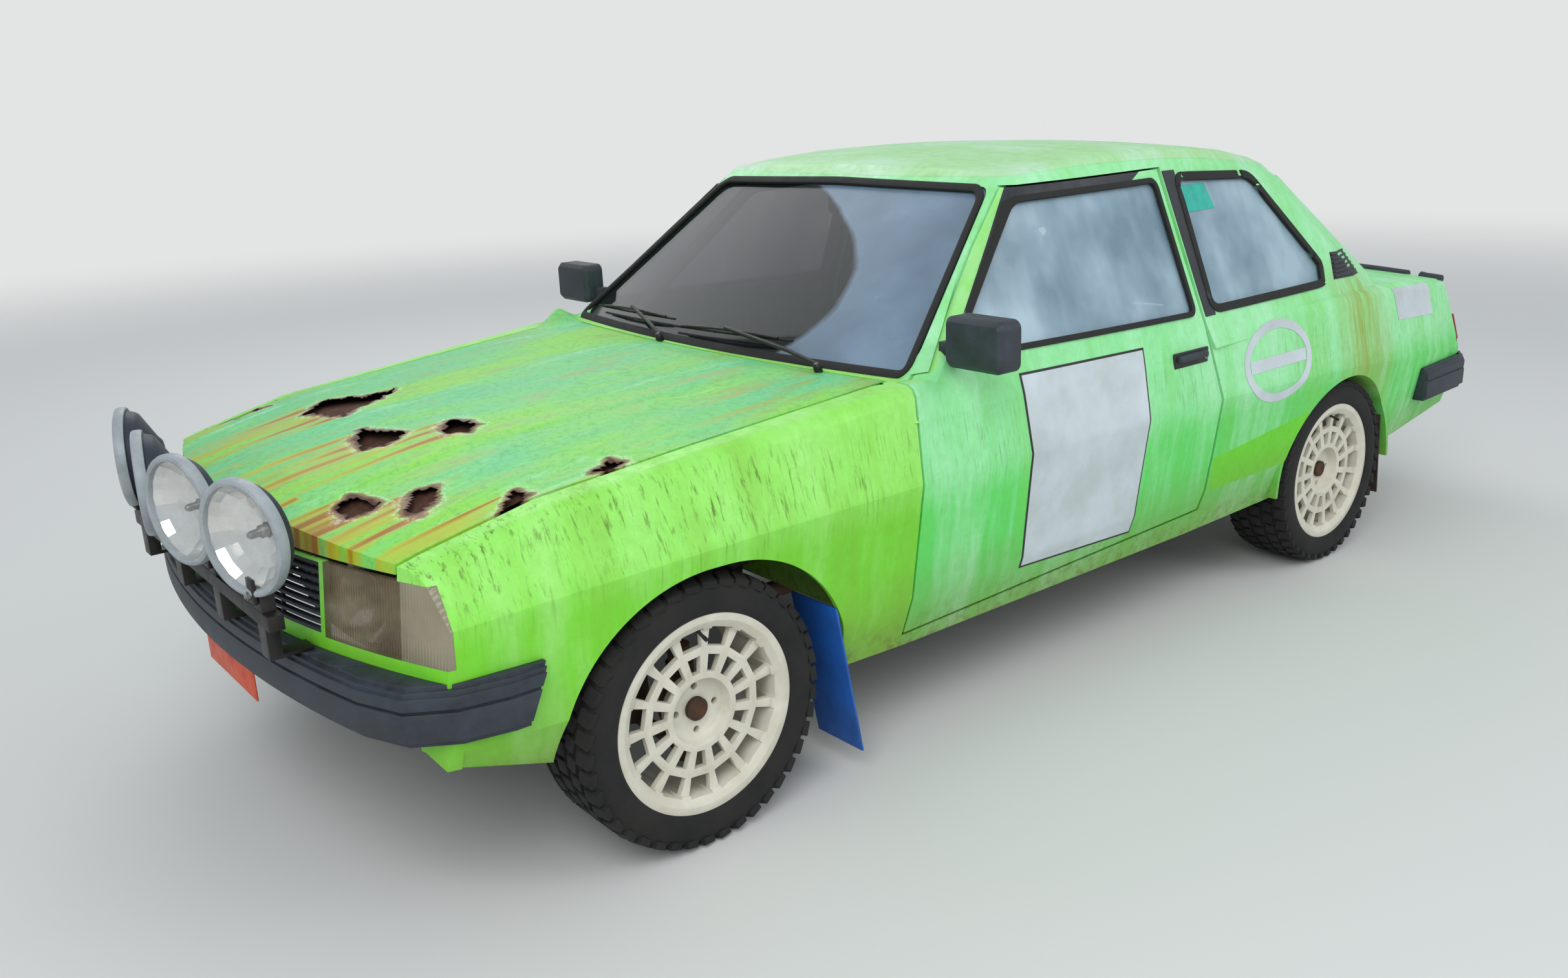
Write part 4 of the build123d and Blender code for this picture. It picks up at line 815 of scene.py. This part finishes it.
for index, (x, yaw) in enumerate(lamps):
    angle = math.radians(yaw)
    front = Vector((math.sin(angle), -math.cos(angle), 0))
    setback = lamp_radius * abs(math.sin(angle)) + (0.024 if abs(x) > 0.2 else 0)
    centre = Vector((x, front_end_y + setback, lamp_z))
    for part, slot, finish, steps, smooth, profile in lamp_parts:
        piece = done(turned(f"lamp_{part}_{index}", profile, centre, front, steps), "body", slot, finish,
                     smooth=smooth)
        if index == 0 and part in ("bowl", "glass"):
            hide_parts({"bowl": "driving_lamps", "glass": "driving_lamp_lenses"}[part])
    foot_z = lamp_z - lamp_radius
    done(rounded_block(f"lamp_bracket_{index}", (0.034, 0.008, 0.05), (x, front_end_y + 0.072, foot_z + 0.012), 0.002),
         "body", "black_metal", black_paint)
    done(turned(f"lamp_bolt_{index}", bolt_profile, (x, front_end_y + 0.068, foot_z + 0.004), (0, -1, 0), 6), "body",
         "black_metal", dull_steel, smooth=20)

# Headlamps: a bright bowl behind each hazed lens
headlamp_profile = [(0, 72), (4, 74), (-30, 60), (-52, 36), (-60, 12), (-56, 12), (-48, 36), (-27, 58)]
for side, sign, view in sides:
    done(turned("headlamp_reflector_" + side, headlamp_profile, (sign * 0.545, behind(-0.590), 0.645),
                (sign * 0.28, -0.96, 0)), "body", "lamp_glass", mirror_metal, smooth=40)
for node in ("headlamps", "tail_lamps"):
    softened(node, 0.003, smooth=30)

# The bonnet: one pressed sheet with two lengthwise swages, over its frame. It has rusted through in seven holes
# and a crack, whose outlines are millimetres of X and behind the front axle
bonnet_holes = [[(x / 1000, behind(y / 1000)) for x, y in hole] for hole in (
    [(-340, -356), (-423, -294), (-370, -222), (-304, -156), (-230, -218), (-178, -319), (-262, -365)],
    [(41, -388), (-7, -346), (36, -330), (125, -313), (156, -364), (126, -405)],
    [(153, -227), (134, -185), (213, -169), (240, -208), (212, -243)],
    [(359, -553), (338, -520), (413, -497), (433, -527), (412, -559)],
    [(488, -479), (439, -431), (457, -387), (505, -429), (536, -460)],
    [(673, -357), (611, -298), (646, -291), (666, -328)],
    [(648, -139), (625, -91), (653, -77), (666, -117)],
    [(-678, -505), (-740, -407), (-700, -400), (-618, -362), (-650, -440)],
)]
# Its front and rear edges in plan: the Y of their middles, and their radii
nose_y, nose_radius = behind(-0.679), 2.0219
scuttle_y, scuttle_radius = behind(0.559), 5.349


def front_edge(x):
    return nose_y + nose_radius - math.sqrt(nose_radius**2 - x**2)


def depth_in(outline, x, y):
    """How far a point lies inside an outline; negative outside it."""
    nearest, inside = 9.0, False
    for (ax, ay), (bx, by) in zip(outline, outline[1:] + outline[:1]):
        share = max(0.0, min(1.0, ((x - ax) * (bx - ax) + (y - ay) * (by - ay)) / ((bx - ax) ** 2 + (by - ay) ** 2)))
        nearest = min(nearest, math.hypot(x - ax - share * (bx - ax), y - ay - share * (by - ay)))
        if (ay > y) != (by > y) and x < (bx - ax) * (y - ay) / (by - ay) + ax:
            inside = not inside
    return nearest if inside else -nearest


def rot_depth(x, y):
    """How deep a point of the bonnet lies in its rot, with the ragged edge that rust leaves."""
    ragged = 0.016 * noise.noise(Vector((x * 22, y * 22, 2))) + 0.008 * noise.noise(Vector((x * 70, y * 70, 5)))
    return max(depth_in(hole, x, y) for hole in bonnet_holes) + ragged


def bonnet_place(u, v):
    """Plan position from a share of the width (-1 to 1) and of the length (0 at the nose, 1 at the scuttle)."""
    x = u * 0.66
    for _ in range(3):
        front = front_edge(x)
        rear = scuttle_y + scuttle_radius - math.sqrt(scuttle_radius**2 - x**2)
        y = front + v * (rear - front)
        # Half its width, which grows by 45 mm towards the rear
        x = u * (0.6545 + 0.045 * min(max((y - behind(-0.58)) / 1.186, 0), 1))
    return x, y


def bonnet_sheet(name, columns, rows, reach):
    """A grid over the bonnet, laid on its CAD skin."""
    sheet = started("grid", name, x_subdivisions=columns, y_subdivisions=rows, size=2)
    for vertex in sheet.data.vertices:
        x, y = bonnet_place(vertex.co.x * reach, (vertex.co.y * reach + 1) / 2)
        vertex.co = (x, y, 1.3)
    apply(sheet, "SHRINKWRAP", wrap_method="PROJECT", target=nodes["bonnet"], use_project_z=True,
          use_negative_direction=True, use_positive_direction=False)
    return sheet


columns, rows, margin = 150, 134, 3
skin = bonnet_sheet("bonnet_skin", columns, rows, 0.997)
inner = skin.vertex_groups.new(name="inner")
for vertex in skin.data.vertices:
    column, row = vertex.index % (columns + 1), vertex.index // (columns + 1)
    if margin < column < columns - margin and margin < row < rows - margin:
        inner.add([vertex.index], 1.0, "REPLACE")
apply(skin, "SMOOTH", factor=0.5, iterations=160, use_x=False, use_y=False, vertex_group="inner")
corner_x, corner_y, corner_reach = -0.69, behind(0.56), 0.09
for vertex in skin.data.vertices:
    x, y, _ = vertex.co
    # Swages, which run out before both ends, and dents
    swage = 0.30 + 0.08 * (y - behind(-0.7)) / 1.26
    rise = 0.5 + 0.5 * math.tanh((swage - abs(x)) / 0.010)
    ends = min(1.0, max(0.0, (y - behind(-0.66)) / 0.10)) * min(1.0, max(0.0, (behind(0.54) - y) / 0.06))
    second = math.exp(-(((abs(x) - 0.565) / 0.012) ** 2))
    dent = 0.0012 * noise.noise(Vector((x * 5, y * 4, 0)))
    vertex.co.z += (0.0055 * rise + 0.0022 * second) * ends + dent
    # The sheet curls beside a hole, and its right rear corner is bent up
    depth = rot_depth(x, y)
    if depth > -0.035:
        curl = noise.noise(Vector((x * 30, y * 30, 9)))
        vertex.co.z += 0.011 * curl * math.exp(min(depth, 0) / 0.012)
    tip = math.hypot(x - corner_x, y - corner_y)
    if tip < corner_reach:
        vertex.co.z += 0.045 * (1 - tip / corner_reach) ** 1.5
lip_z = 0.729  # where the folded front edge ends
with editing(skin):
    choose(skin, "edges", lambda edge: edge.is_boundary)
    bpy.ops.mesh.extrude_region_move(TRANSFORM_OT_translate={"value": (0, 0, -0.010)})
    mesh = bmesh.from_edit_mesh(skin.data)
    for vertex in mesh.verts:
        if vertex.select and vertex.co.y < front_edge(vertex.co.x) + 0.004:
            vertex.co.y -= 0.1 * (vertex.co.z - lip_z)
            vertex.co.z = lip_z
    bmesh.update_edit_mesh(skin.data)
    choose(skin, "faces", lambda face: rot_depth(*face.calc_center_median()[:2]) > 0)
    bpy.ops.mesh.delete(type="FACE")
apply(skin, "SOLIDIFY", thickness=0.0013, offset=-1)
# Where the sheet has rusted, and where rust runs forward from each hole and from the front edge
rust = skin.data.attributes.new("rust", "FLOAT", "POINT")
runs = skin.data.attributes.new("runs", "FLOAT", "POINT")
hole_boxes = [(min(x for x, y in hole), max(x for x, y in hole), min(y for x, y in hole)) for hole in bonnet_holes]
for vertex in skin.data.vertices:
    x, y, _ = vertex.co
    rust.data[vertex.index].value = min(1.0, math.exp(min(rot_depth(x, y) + 0.004, 0) / 0.011))
    run = 0.0
    streak = 0.5 + 0.5 * noise.noise(Vector((x * 42, y * 2.2, 4)))
    for low_x, high_x, front in hole_boxes:
        start = front + 0.03
        if low_x - 0.01 < x < high_x + 0.01 and y < start:
            run = max(run, math.exp((y - start) / 0.26) * max(0.0, streak * 2.6 - 0.85))
    if y < behind(-0.60) + 0.12 * x * x:
        lip = 0.5 + 0.5 * noise.noise(Vector((x * 26, y * 8, 6)))
        run = max(run, lip * 2.2 - 1.25)
    runs.data[vertex.index].value = min(run, 1.0)
done(skin, "bonnet", "lime_paint", bonnet_enamel, smooth=24)
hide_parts("bonnet")
frame_sheet = bonnet_sheet("bonnet_frame", 40, 40, 0.93)
for vertex in frame_sheet.data.vertices:
    x, y, _ = vertex.co
    vertex.co.z -= 0.019 + 0.004 * noise.noise(Vector((x * 9, y * 9, 3)))
apply(frame_sheet, "SOLIDIFY", thickness=0.0015, offset=-1)
done(frame_sheet, "bonnet", "lime_paint", bare_rust, smooth=24)

# Blank stickers: the door's panel over its black edge, the tail's, the glass's, and an oval ring with a band
door_panel = side_view((0.965, 0.873), (1.455, 0.865), (1.440, 0.352), (0.978, 0.370))
tail_panel = side_view((2.868, 0.852), (3.150, 0.838), (3.165, 0.732), (2.885, 0.748))
glass_corner = side_view((1.822, 1.252), (1.955, 1.252), (1.975, 1.180), (1.832, 1.180))
for name, corners, target, cuts, proud, body, film in (
    ("door_panel_edge", door_panel, formed["door_left"], 48, 0.0008, "door_left", black_vinyl),
    ("door_panel", grown(door_panel, -0.006), formed["door_left"], 48, 0.0016, "door_left", white_vinyl),
    ("tail_sticker", tail_panel, formed["side_left"], 24, 0.0010, "body", white_vinyl),
    ("glass_sticker", glass_corner, nodes["quarter_windows"], 10, 0.0008, "body", turquoise_vinyl),
):
    done(patch(name, corners, "x", target, cuts, proud), body, "mint_paint", film)
disc = started("circle", "round_sticker", vertices=64, radius=1, fill_type="NGON")
for vertex in disc.data.vertices:
    vertex.co = seen("x", behind(2.098) + 0.185 * vertex.co.x, 0.735 + 0.120 * vertex.co.y)
with editing(disc):
    for _ in range(3):
        bpy.ops.mesh.inset(thickness=0.009)
    bpy.ops.mesh.delete(type="FACE")
thrown(disc, "x", formed["side_left"])
for vertex in disc.data.vertices:
    vertex.co.x += 0.001
apply(disc, "SOLIDIFY", thickness=0.0008, offset=0)
facing_out(disc)
done(disc, "body", "mint_paint", white_vinyl)
ring_band = side_view((1.945, 0.752), (2.250, 0.752), (2.250, 0.716), (1.945, 0.716))
done(patch("round_sticker_banner", ring_band, "x", formed["side_left"], 24, 0.0010), "body", "mint_paint", white_vinyl)

# Door handles, and pillar vents with six louvres
lock_profile = [(0, 0), (0, 9.5), (6, 9.5), (7, 8), (7, 0)]
vent = side_view((2.554, 0.998), (2.692, 0.990), (2.723, 0.914), (2.522, 0.919))
at = skin_tree(nodes["door_left"]).ray_cast(Vector((2, behind(1.656), 0.808)), Vector((-1, 0, 0)))[0]
for side, sign, view in sides:
    done(rounded_block("handle_plate_" + side, (0.008, 0.158, 0.044), (sign * (at.x + 0.001), at.y, at.z), 0.0035),
         "door_" + side, "black_plastic", black_paint)
    done(rounded_block("handle_grip_" + side, (0.022, 0.130, 0.018),
                       (sign * (at.x + 0.010), at.y - 0.004, at.z + 0.006), 0.007, 4),
         "door_" + side, "black_plastic", bumper_plastic)
    done(turned("door_lock_" + side, lock_profile, (sign * (at.x + 0.002), at.y + 0.066, at.z - 0.002), (sign, 0, 0),
                24), "door_" + side, "black_plastic", dull_steel)
    done(patch("pillar_vent_" + side, vent, view, glasshouse, 5, gauge=0.006), "body", "black_plastic", black_paint)
    for row in range(6):
        # A louvre lies between two shares of the vent's height
        edges = []
        for share in ((row + 0.25) / 6.2, (row + 0.72) / 6.2):
            front, back, z = 2.554 - 0.032 * share, 2.692 + 0.031 * share, 0.996 - 0.079 * share
            edges += side_view(*((front + (back - front) * part, z) for part in (0.04, 0.96)))
        corners = [edges[i] for i in (0, 1, 3, 2)]
        louvre = patch(f"pillar_louvre_{side}_{row}", corners, view, glasshouse, 3, gauge=0.014)
        apply(louvre, "BEVEL", width=0.0015, segments=2, limit_method="ANGLE")
        done(louvre, "body", "black_plastic", bumper_plastic)

# A rubber lip along the rear top edge of the boot lid and of each side, where the top turns down
down = Vector((0, 0, -1))
for name, node, first, step, count in (("boot_lip", "boot_lid", -0.60, 0.12, 11),
                                       ("tail_lip_left", "side_left", 0.65, 0.02, 5),
                                       ("tail_lip_right", "side_right", -0.65, -0.02, 5)):
    tree, places = skin_tree(nodes[node]), []
    for index in range(count):
        x, y = first + step * index, behind(3.03)
        place = tree.ray_cast(Vector((x, y, 2)), down)[0]
        if place is None:
            continue
        top, place = place.z, None
        while place is None or place.z > top - 0.034:
            y += 0.001
            found = tree.ray_cast(Vector((x, y, 2)), down)[0]
            if found is None or found.z < top - 0.10:
                break
            place = found
        places.append((x, place.y - 0.006, place.z + 0.012))
    done(rod(name, places, 0.030), body_of[node], "black_plastic", bumper_plastic)

# Tail lamp glasses beside the boot lid, in the tail panel's slope: Y falls by 0.44 per metre up and by 0.21 per
# metre outward
lens_corners = ((0.655, 0.608), (0.766, 0.608), (0.758, 0.702), (0.655, 0.702))
for side, sign, view in sides:
    glass = started("plane", "tail_lens_" + side, size=1)
    for index, (x, z) in zip((0, 1, 3, 2), lens_corners):
        glass.data.vertices[index].co = (sign * x, 2.024 - 0.44 * (z - 0.60) - 0.21 * (x - 0.74), z)
    apply(glass, "SOLIDIFY", thickness=0.016, offset=0)
    facing_out(glass)
    apply(glass, "BEVEL", width=0.003, segments=2)
    done(glass, "body", "red_lens", red_lens)

# Wipers: pivots, sprung arms and rubber blades. Places: X, behind the front axle and Z; on the screen X and Z
boss_profile = [(-30, 0), (-30, 8), (6, 11), (12, 10), (18, 6), (18, 0)]
for name, (x, y, z), middle, ((x0, z0), (x1, z1)) in (
    ("left", (0.506, 0.574, 0.905), (0.085, 0.935), ((0.330, 0.938), (-0.165, 0.928))),
    ("right", (-0.154, 0.568, 0.905), (-0.400, 0.942), ((-0.175, 0.942), (-0.630, 0.934))),
):
    pivot = Vector((x, behind(y), z))
    done(turned("wiper_boss_" + name, boss_profile, pivot, (0, -0.35, 1), 20), "body", "black_metal", black_paint)
    root, tip = pivot + Vector((0, 0, 0.012)), on_screen(*middle, 0.026)
    elbow = root.lerp(tip, 0.3) + Vector((0, -0.004, 0.008))
    arm = done(rod("wiper_arm_" + name, [root, elbow, tip], 0.011), "body", "black_metal", black_paint)
    shares = [i / 8 for i in range(9)]
    blade = [on_screen(x0 + (x1 - x0) * s, z0 + (z1 - z0) * s, 0.008) for s in shares]
    done(rod("wiper_rubber_" + name, blade, 0.006), "body", "black_plastic", rubber_seal)
    spine = [on_screen(x0 + (x1 - x0) * (0.1 + 0.8 * s), z0 + (z1 - z0) * (0.1 + 0.8 * s),
                       0.012 + 0.010 * math.sin(math.pi * s)) for s in shares]
    done(rod("wiper_spine_" + name, spine, 0.008), "body", "black_metal", black_paint)
    if name == "left":
        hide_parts("wipers")

# Bucket seats on bases and rails. The run holds points along the seat's middle: behind seat_y, and Z
seat_y, seat_x = behind(1.150), 0.376
seat_run = [(-0.035, 0.400), (-0.045, 0.452), (0.020, 0.486), (0.150, 0.478), (0.300, 0.452), (0.400, 0.430),
            (0.462, 0.480), (0.490, 0.600), (0.520, 0.740), (0.548, 0.880), (0.568, 0.980), (0.586, 1.060),
            (0.600, 1.105)]
for side, sign, view in sides:
    seat = started("grid", "bucket_seat_" + side, x_subdivisions=24, y_subdivisions=48, size=2)
    for vertex in seat.data.vertices:
        across, share = vertex.co.x, (vertex.co.y + 1) / 2 * (len(seat_run) - 1)
        index = min(int(share), len(seat_run) - 2)
        start, end = Vector(seat_run[index]), Vector(seat_run[index + 1])
        y, z = start.lerp(end, share - index)
        out = Vector((start.y - end.y, end.x - start.x)).normalized()
        half_width = 0.215 - (0.075 * max(0.0, (z - 0.85) / 0.25) if index > 6 else 0)
        bolster = 0.055 * max(0.0, (abs(across) - 0.62) / 0.38) ** 1.5 * (1 if z < 0.98 else 0.2)
        channel = 0.006 * abs(math.sin(share * math.pi)) + 0.005 * (1 - across * across)
        lift = bolster + channel
        vertex.co = (sign * seat_x + across * half_width, seat_y + y + out.x * lift, z + out.y * lift)
    apply(seat, "SOLIDIFY", thickness=0.045, offset=0)
    facing_out(seat)
    apply(seat, "SUBSURF", levels=1, render_levels=1)
    done(seat, "body", "seat_fabric", seat_cloth, smooth=50)
    done(rounded_block("seat_base_" + side, (0.36, 0.40, 0.12), (sign * seat_x, seat_y + 0.20, 0.355), 0.012), "body",
         "trim_plastic", black_paint)
    for rail_x in (-0.15, 0.15):
        place = "in" if rail_x * sign < 0 else "out"
        done(rounded_block(f"seat_rail_{side}_{place}", (0.03, 0.46, 0.022),
                           (sign * seat_x + rail_x, seat_y + 0.20, 0.2935), 0.004),
             "body", "chassis_metal", dull_steel)
    if sign == 1:
        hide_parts("seats")

# Steering wheel rim and cabin mirror
rim_circle = [(13 * math.cos(i * math.pi / 6), 172 + 13 * math.sin(i * math.pi / 6)) for i in range(12)]
steering_hub, steering_angle = Vector((0.360, behind(1.110), 0.860)), math.radians(28)
lean = Vector((0, math.cos(steering_angle), math.sin(steering_angle)))
done(turned("steering_rim", rim_circle, steering_hub + lean * 0.007, lean, 64), "body", "trim_plastic",
     grained_plastic, smooth=60)
mirror_x, mirror_y = 0.02, behind(1.155)
done(rounded_block("cabin_mirror", (0.235, 0.022, 0.062), (mirror_x, mirror_y, 1.232), 0.010), "body",
     "trim_plastic", black_paint)
done(rod("cabin_mirror_stem", [(mirror_x, mirror_y, 1.245), (mirror_x, behind(1.190), 1.292)], 0.010), "body",
     "trim_plastic", black_paint)
bpy.data.objects.remove(glasshouse)

# Camera, at the photograph's place and angle
photo_width, focal_pixels = 2425, 1995
camera_place = Vector((2.8015, axle_y - 1.3966, 1.5223))
camera_yaw, camera_pitch, camera_roll = 2.4627, 0.29234, 0.0381
forward = Vector((math.cos(camera_yaw) * math.cos(camera_pitch), math.sin(camera_yaw) * math.cos(camera_pitch),
                  -math.sin(camera_pitch)))
level_right = forward.cross(Vector((0, 0, 1))).normalized()
level_down = forward.cross(level_right)
right = level_right * math.cos(camera_roll) + level_down * math.sin(camera_roll)
up = level_right * math.sin(camera_roll) - level_down * math.cos(camera_roll)
lens = bpy.data.cameras.new("photo_camera")
lens.sensor_width = 36
lens.lens = focal_pixels / photo_width * lens.sensor_width
camera = bpy.data.objects.new("photo_camera", lens)
bpy.context.scene.collection.objects.link(camera)
camera.matrix_world = Matrix.Translation(camera_place) @ Matrix((right, up, -forward)).transposed().to_4x4()
bpy.context.scene.camera = camera

# Plain pale floor, which fades into the background 5 to 14 m from the car
floor = started("circle", "floor", vertices=96, radius=16, fill_type="NGON")
floor_material, tree, place = new_material("pale_floor")
reach = add(tree, "VectorMath", {0: place}, operation="LENGTH").outputs["Value"]
near = add(tree, "MapRange", {0: reach, 1: 5.0, 2: 14.0, 3: 1.0, 4: 0.0}, interpolation_type="SMOOTHSTEP")
give(floor, surfaced(floor_material, {"Base Color": "#D6D6D4", "Roughness": 0.95, "Alpha": near}))

# Overcast light: a soft sky, which the camera sees as plain paper, and three large lamps
world = bpy.data.worlds.new("overcast")
bpy.context.scene.world = world
world.use_nodes = True
tree = world.node_tree
tree.nodes.clear()
seen_directly = add(tree, "LightPath").outputs["Is Camera Ray"]
sky = add(tree, "Background", {"Color": "#DDE4EA", "Strength": 0.78})
paper = add(tree, "Background", {"Color": "#E3E4E4", "Strength": 1.0})
mixed = add(tree, "MixShader", {0: seen_directly, 1: sky, 2: paper})
add(tree, "OutputWorld", {"Surface": mixed})
# Columns: name, place, power in watts
for name, place, power in (("key", (4.0, -4.5, 5.0), 215), ("fill", (5.5, 3.0, 4.0), 95),
                           ("back", (-5.0, 1.0, 5.0), 95)):
    light = bpy.data.lights.new(name, "AREA")
    light.energy = power
    light.size = 4.0
    lamp = bpy.data.objects.new(name, light)
    bpy.context.scene.collection.objects.link(lamp)
    lamp.location = place
    lamp.rotation_mode = "QUATERNION"
    lamp.rotation_quaternion = (Vector((0, 0, 0.6)) - Vector(place)).to_track_quat("-Z", "Y")
bpy.context.scene.view_settings.view_transform = "Standard"
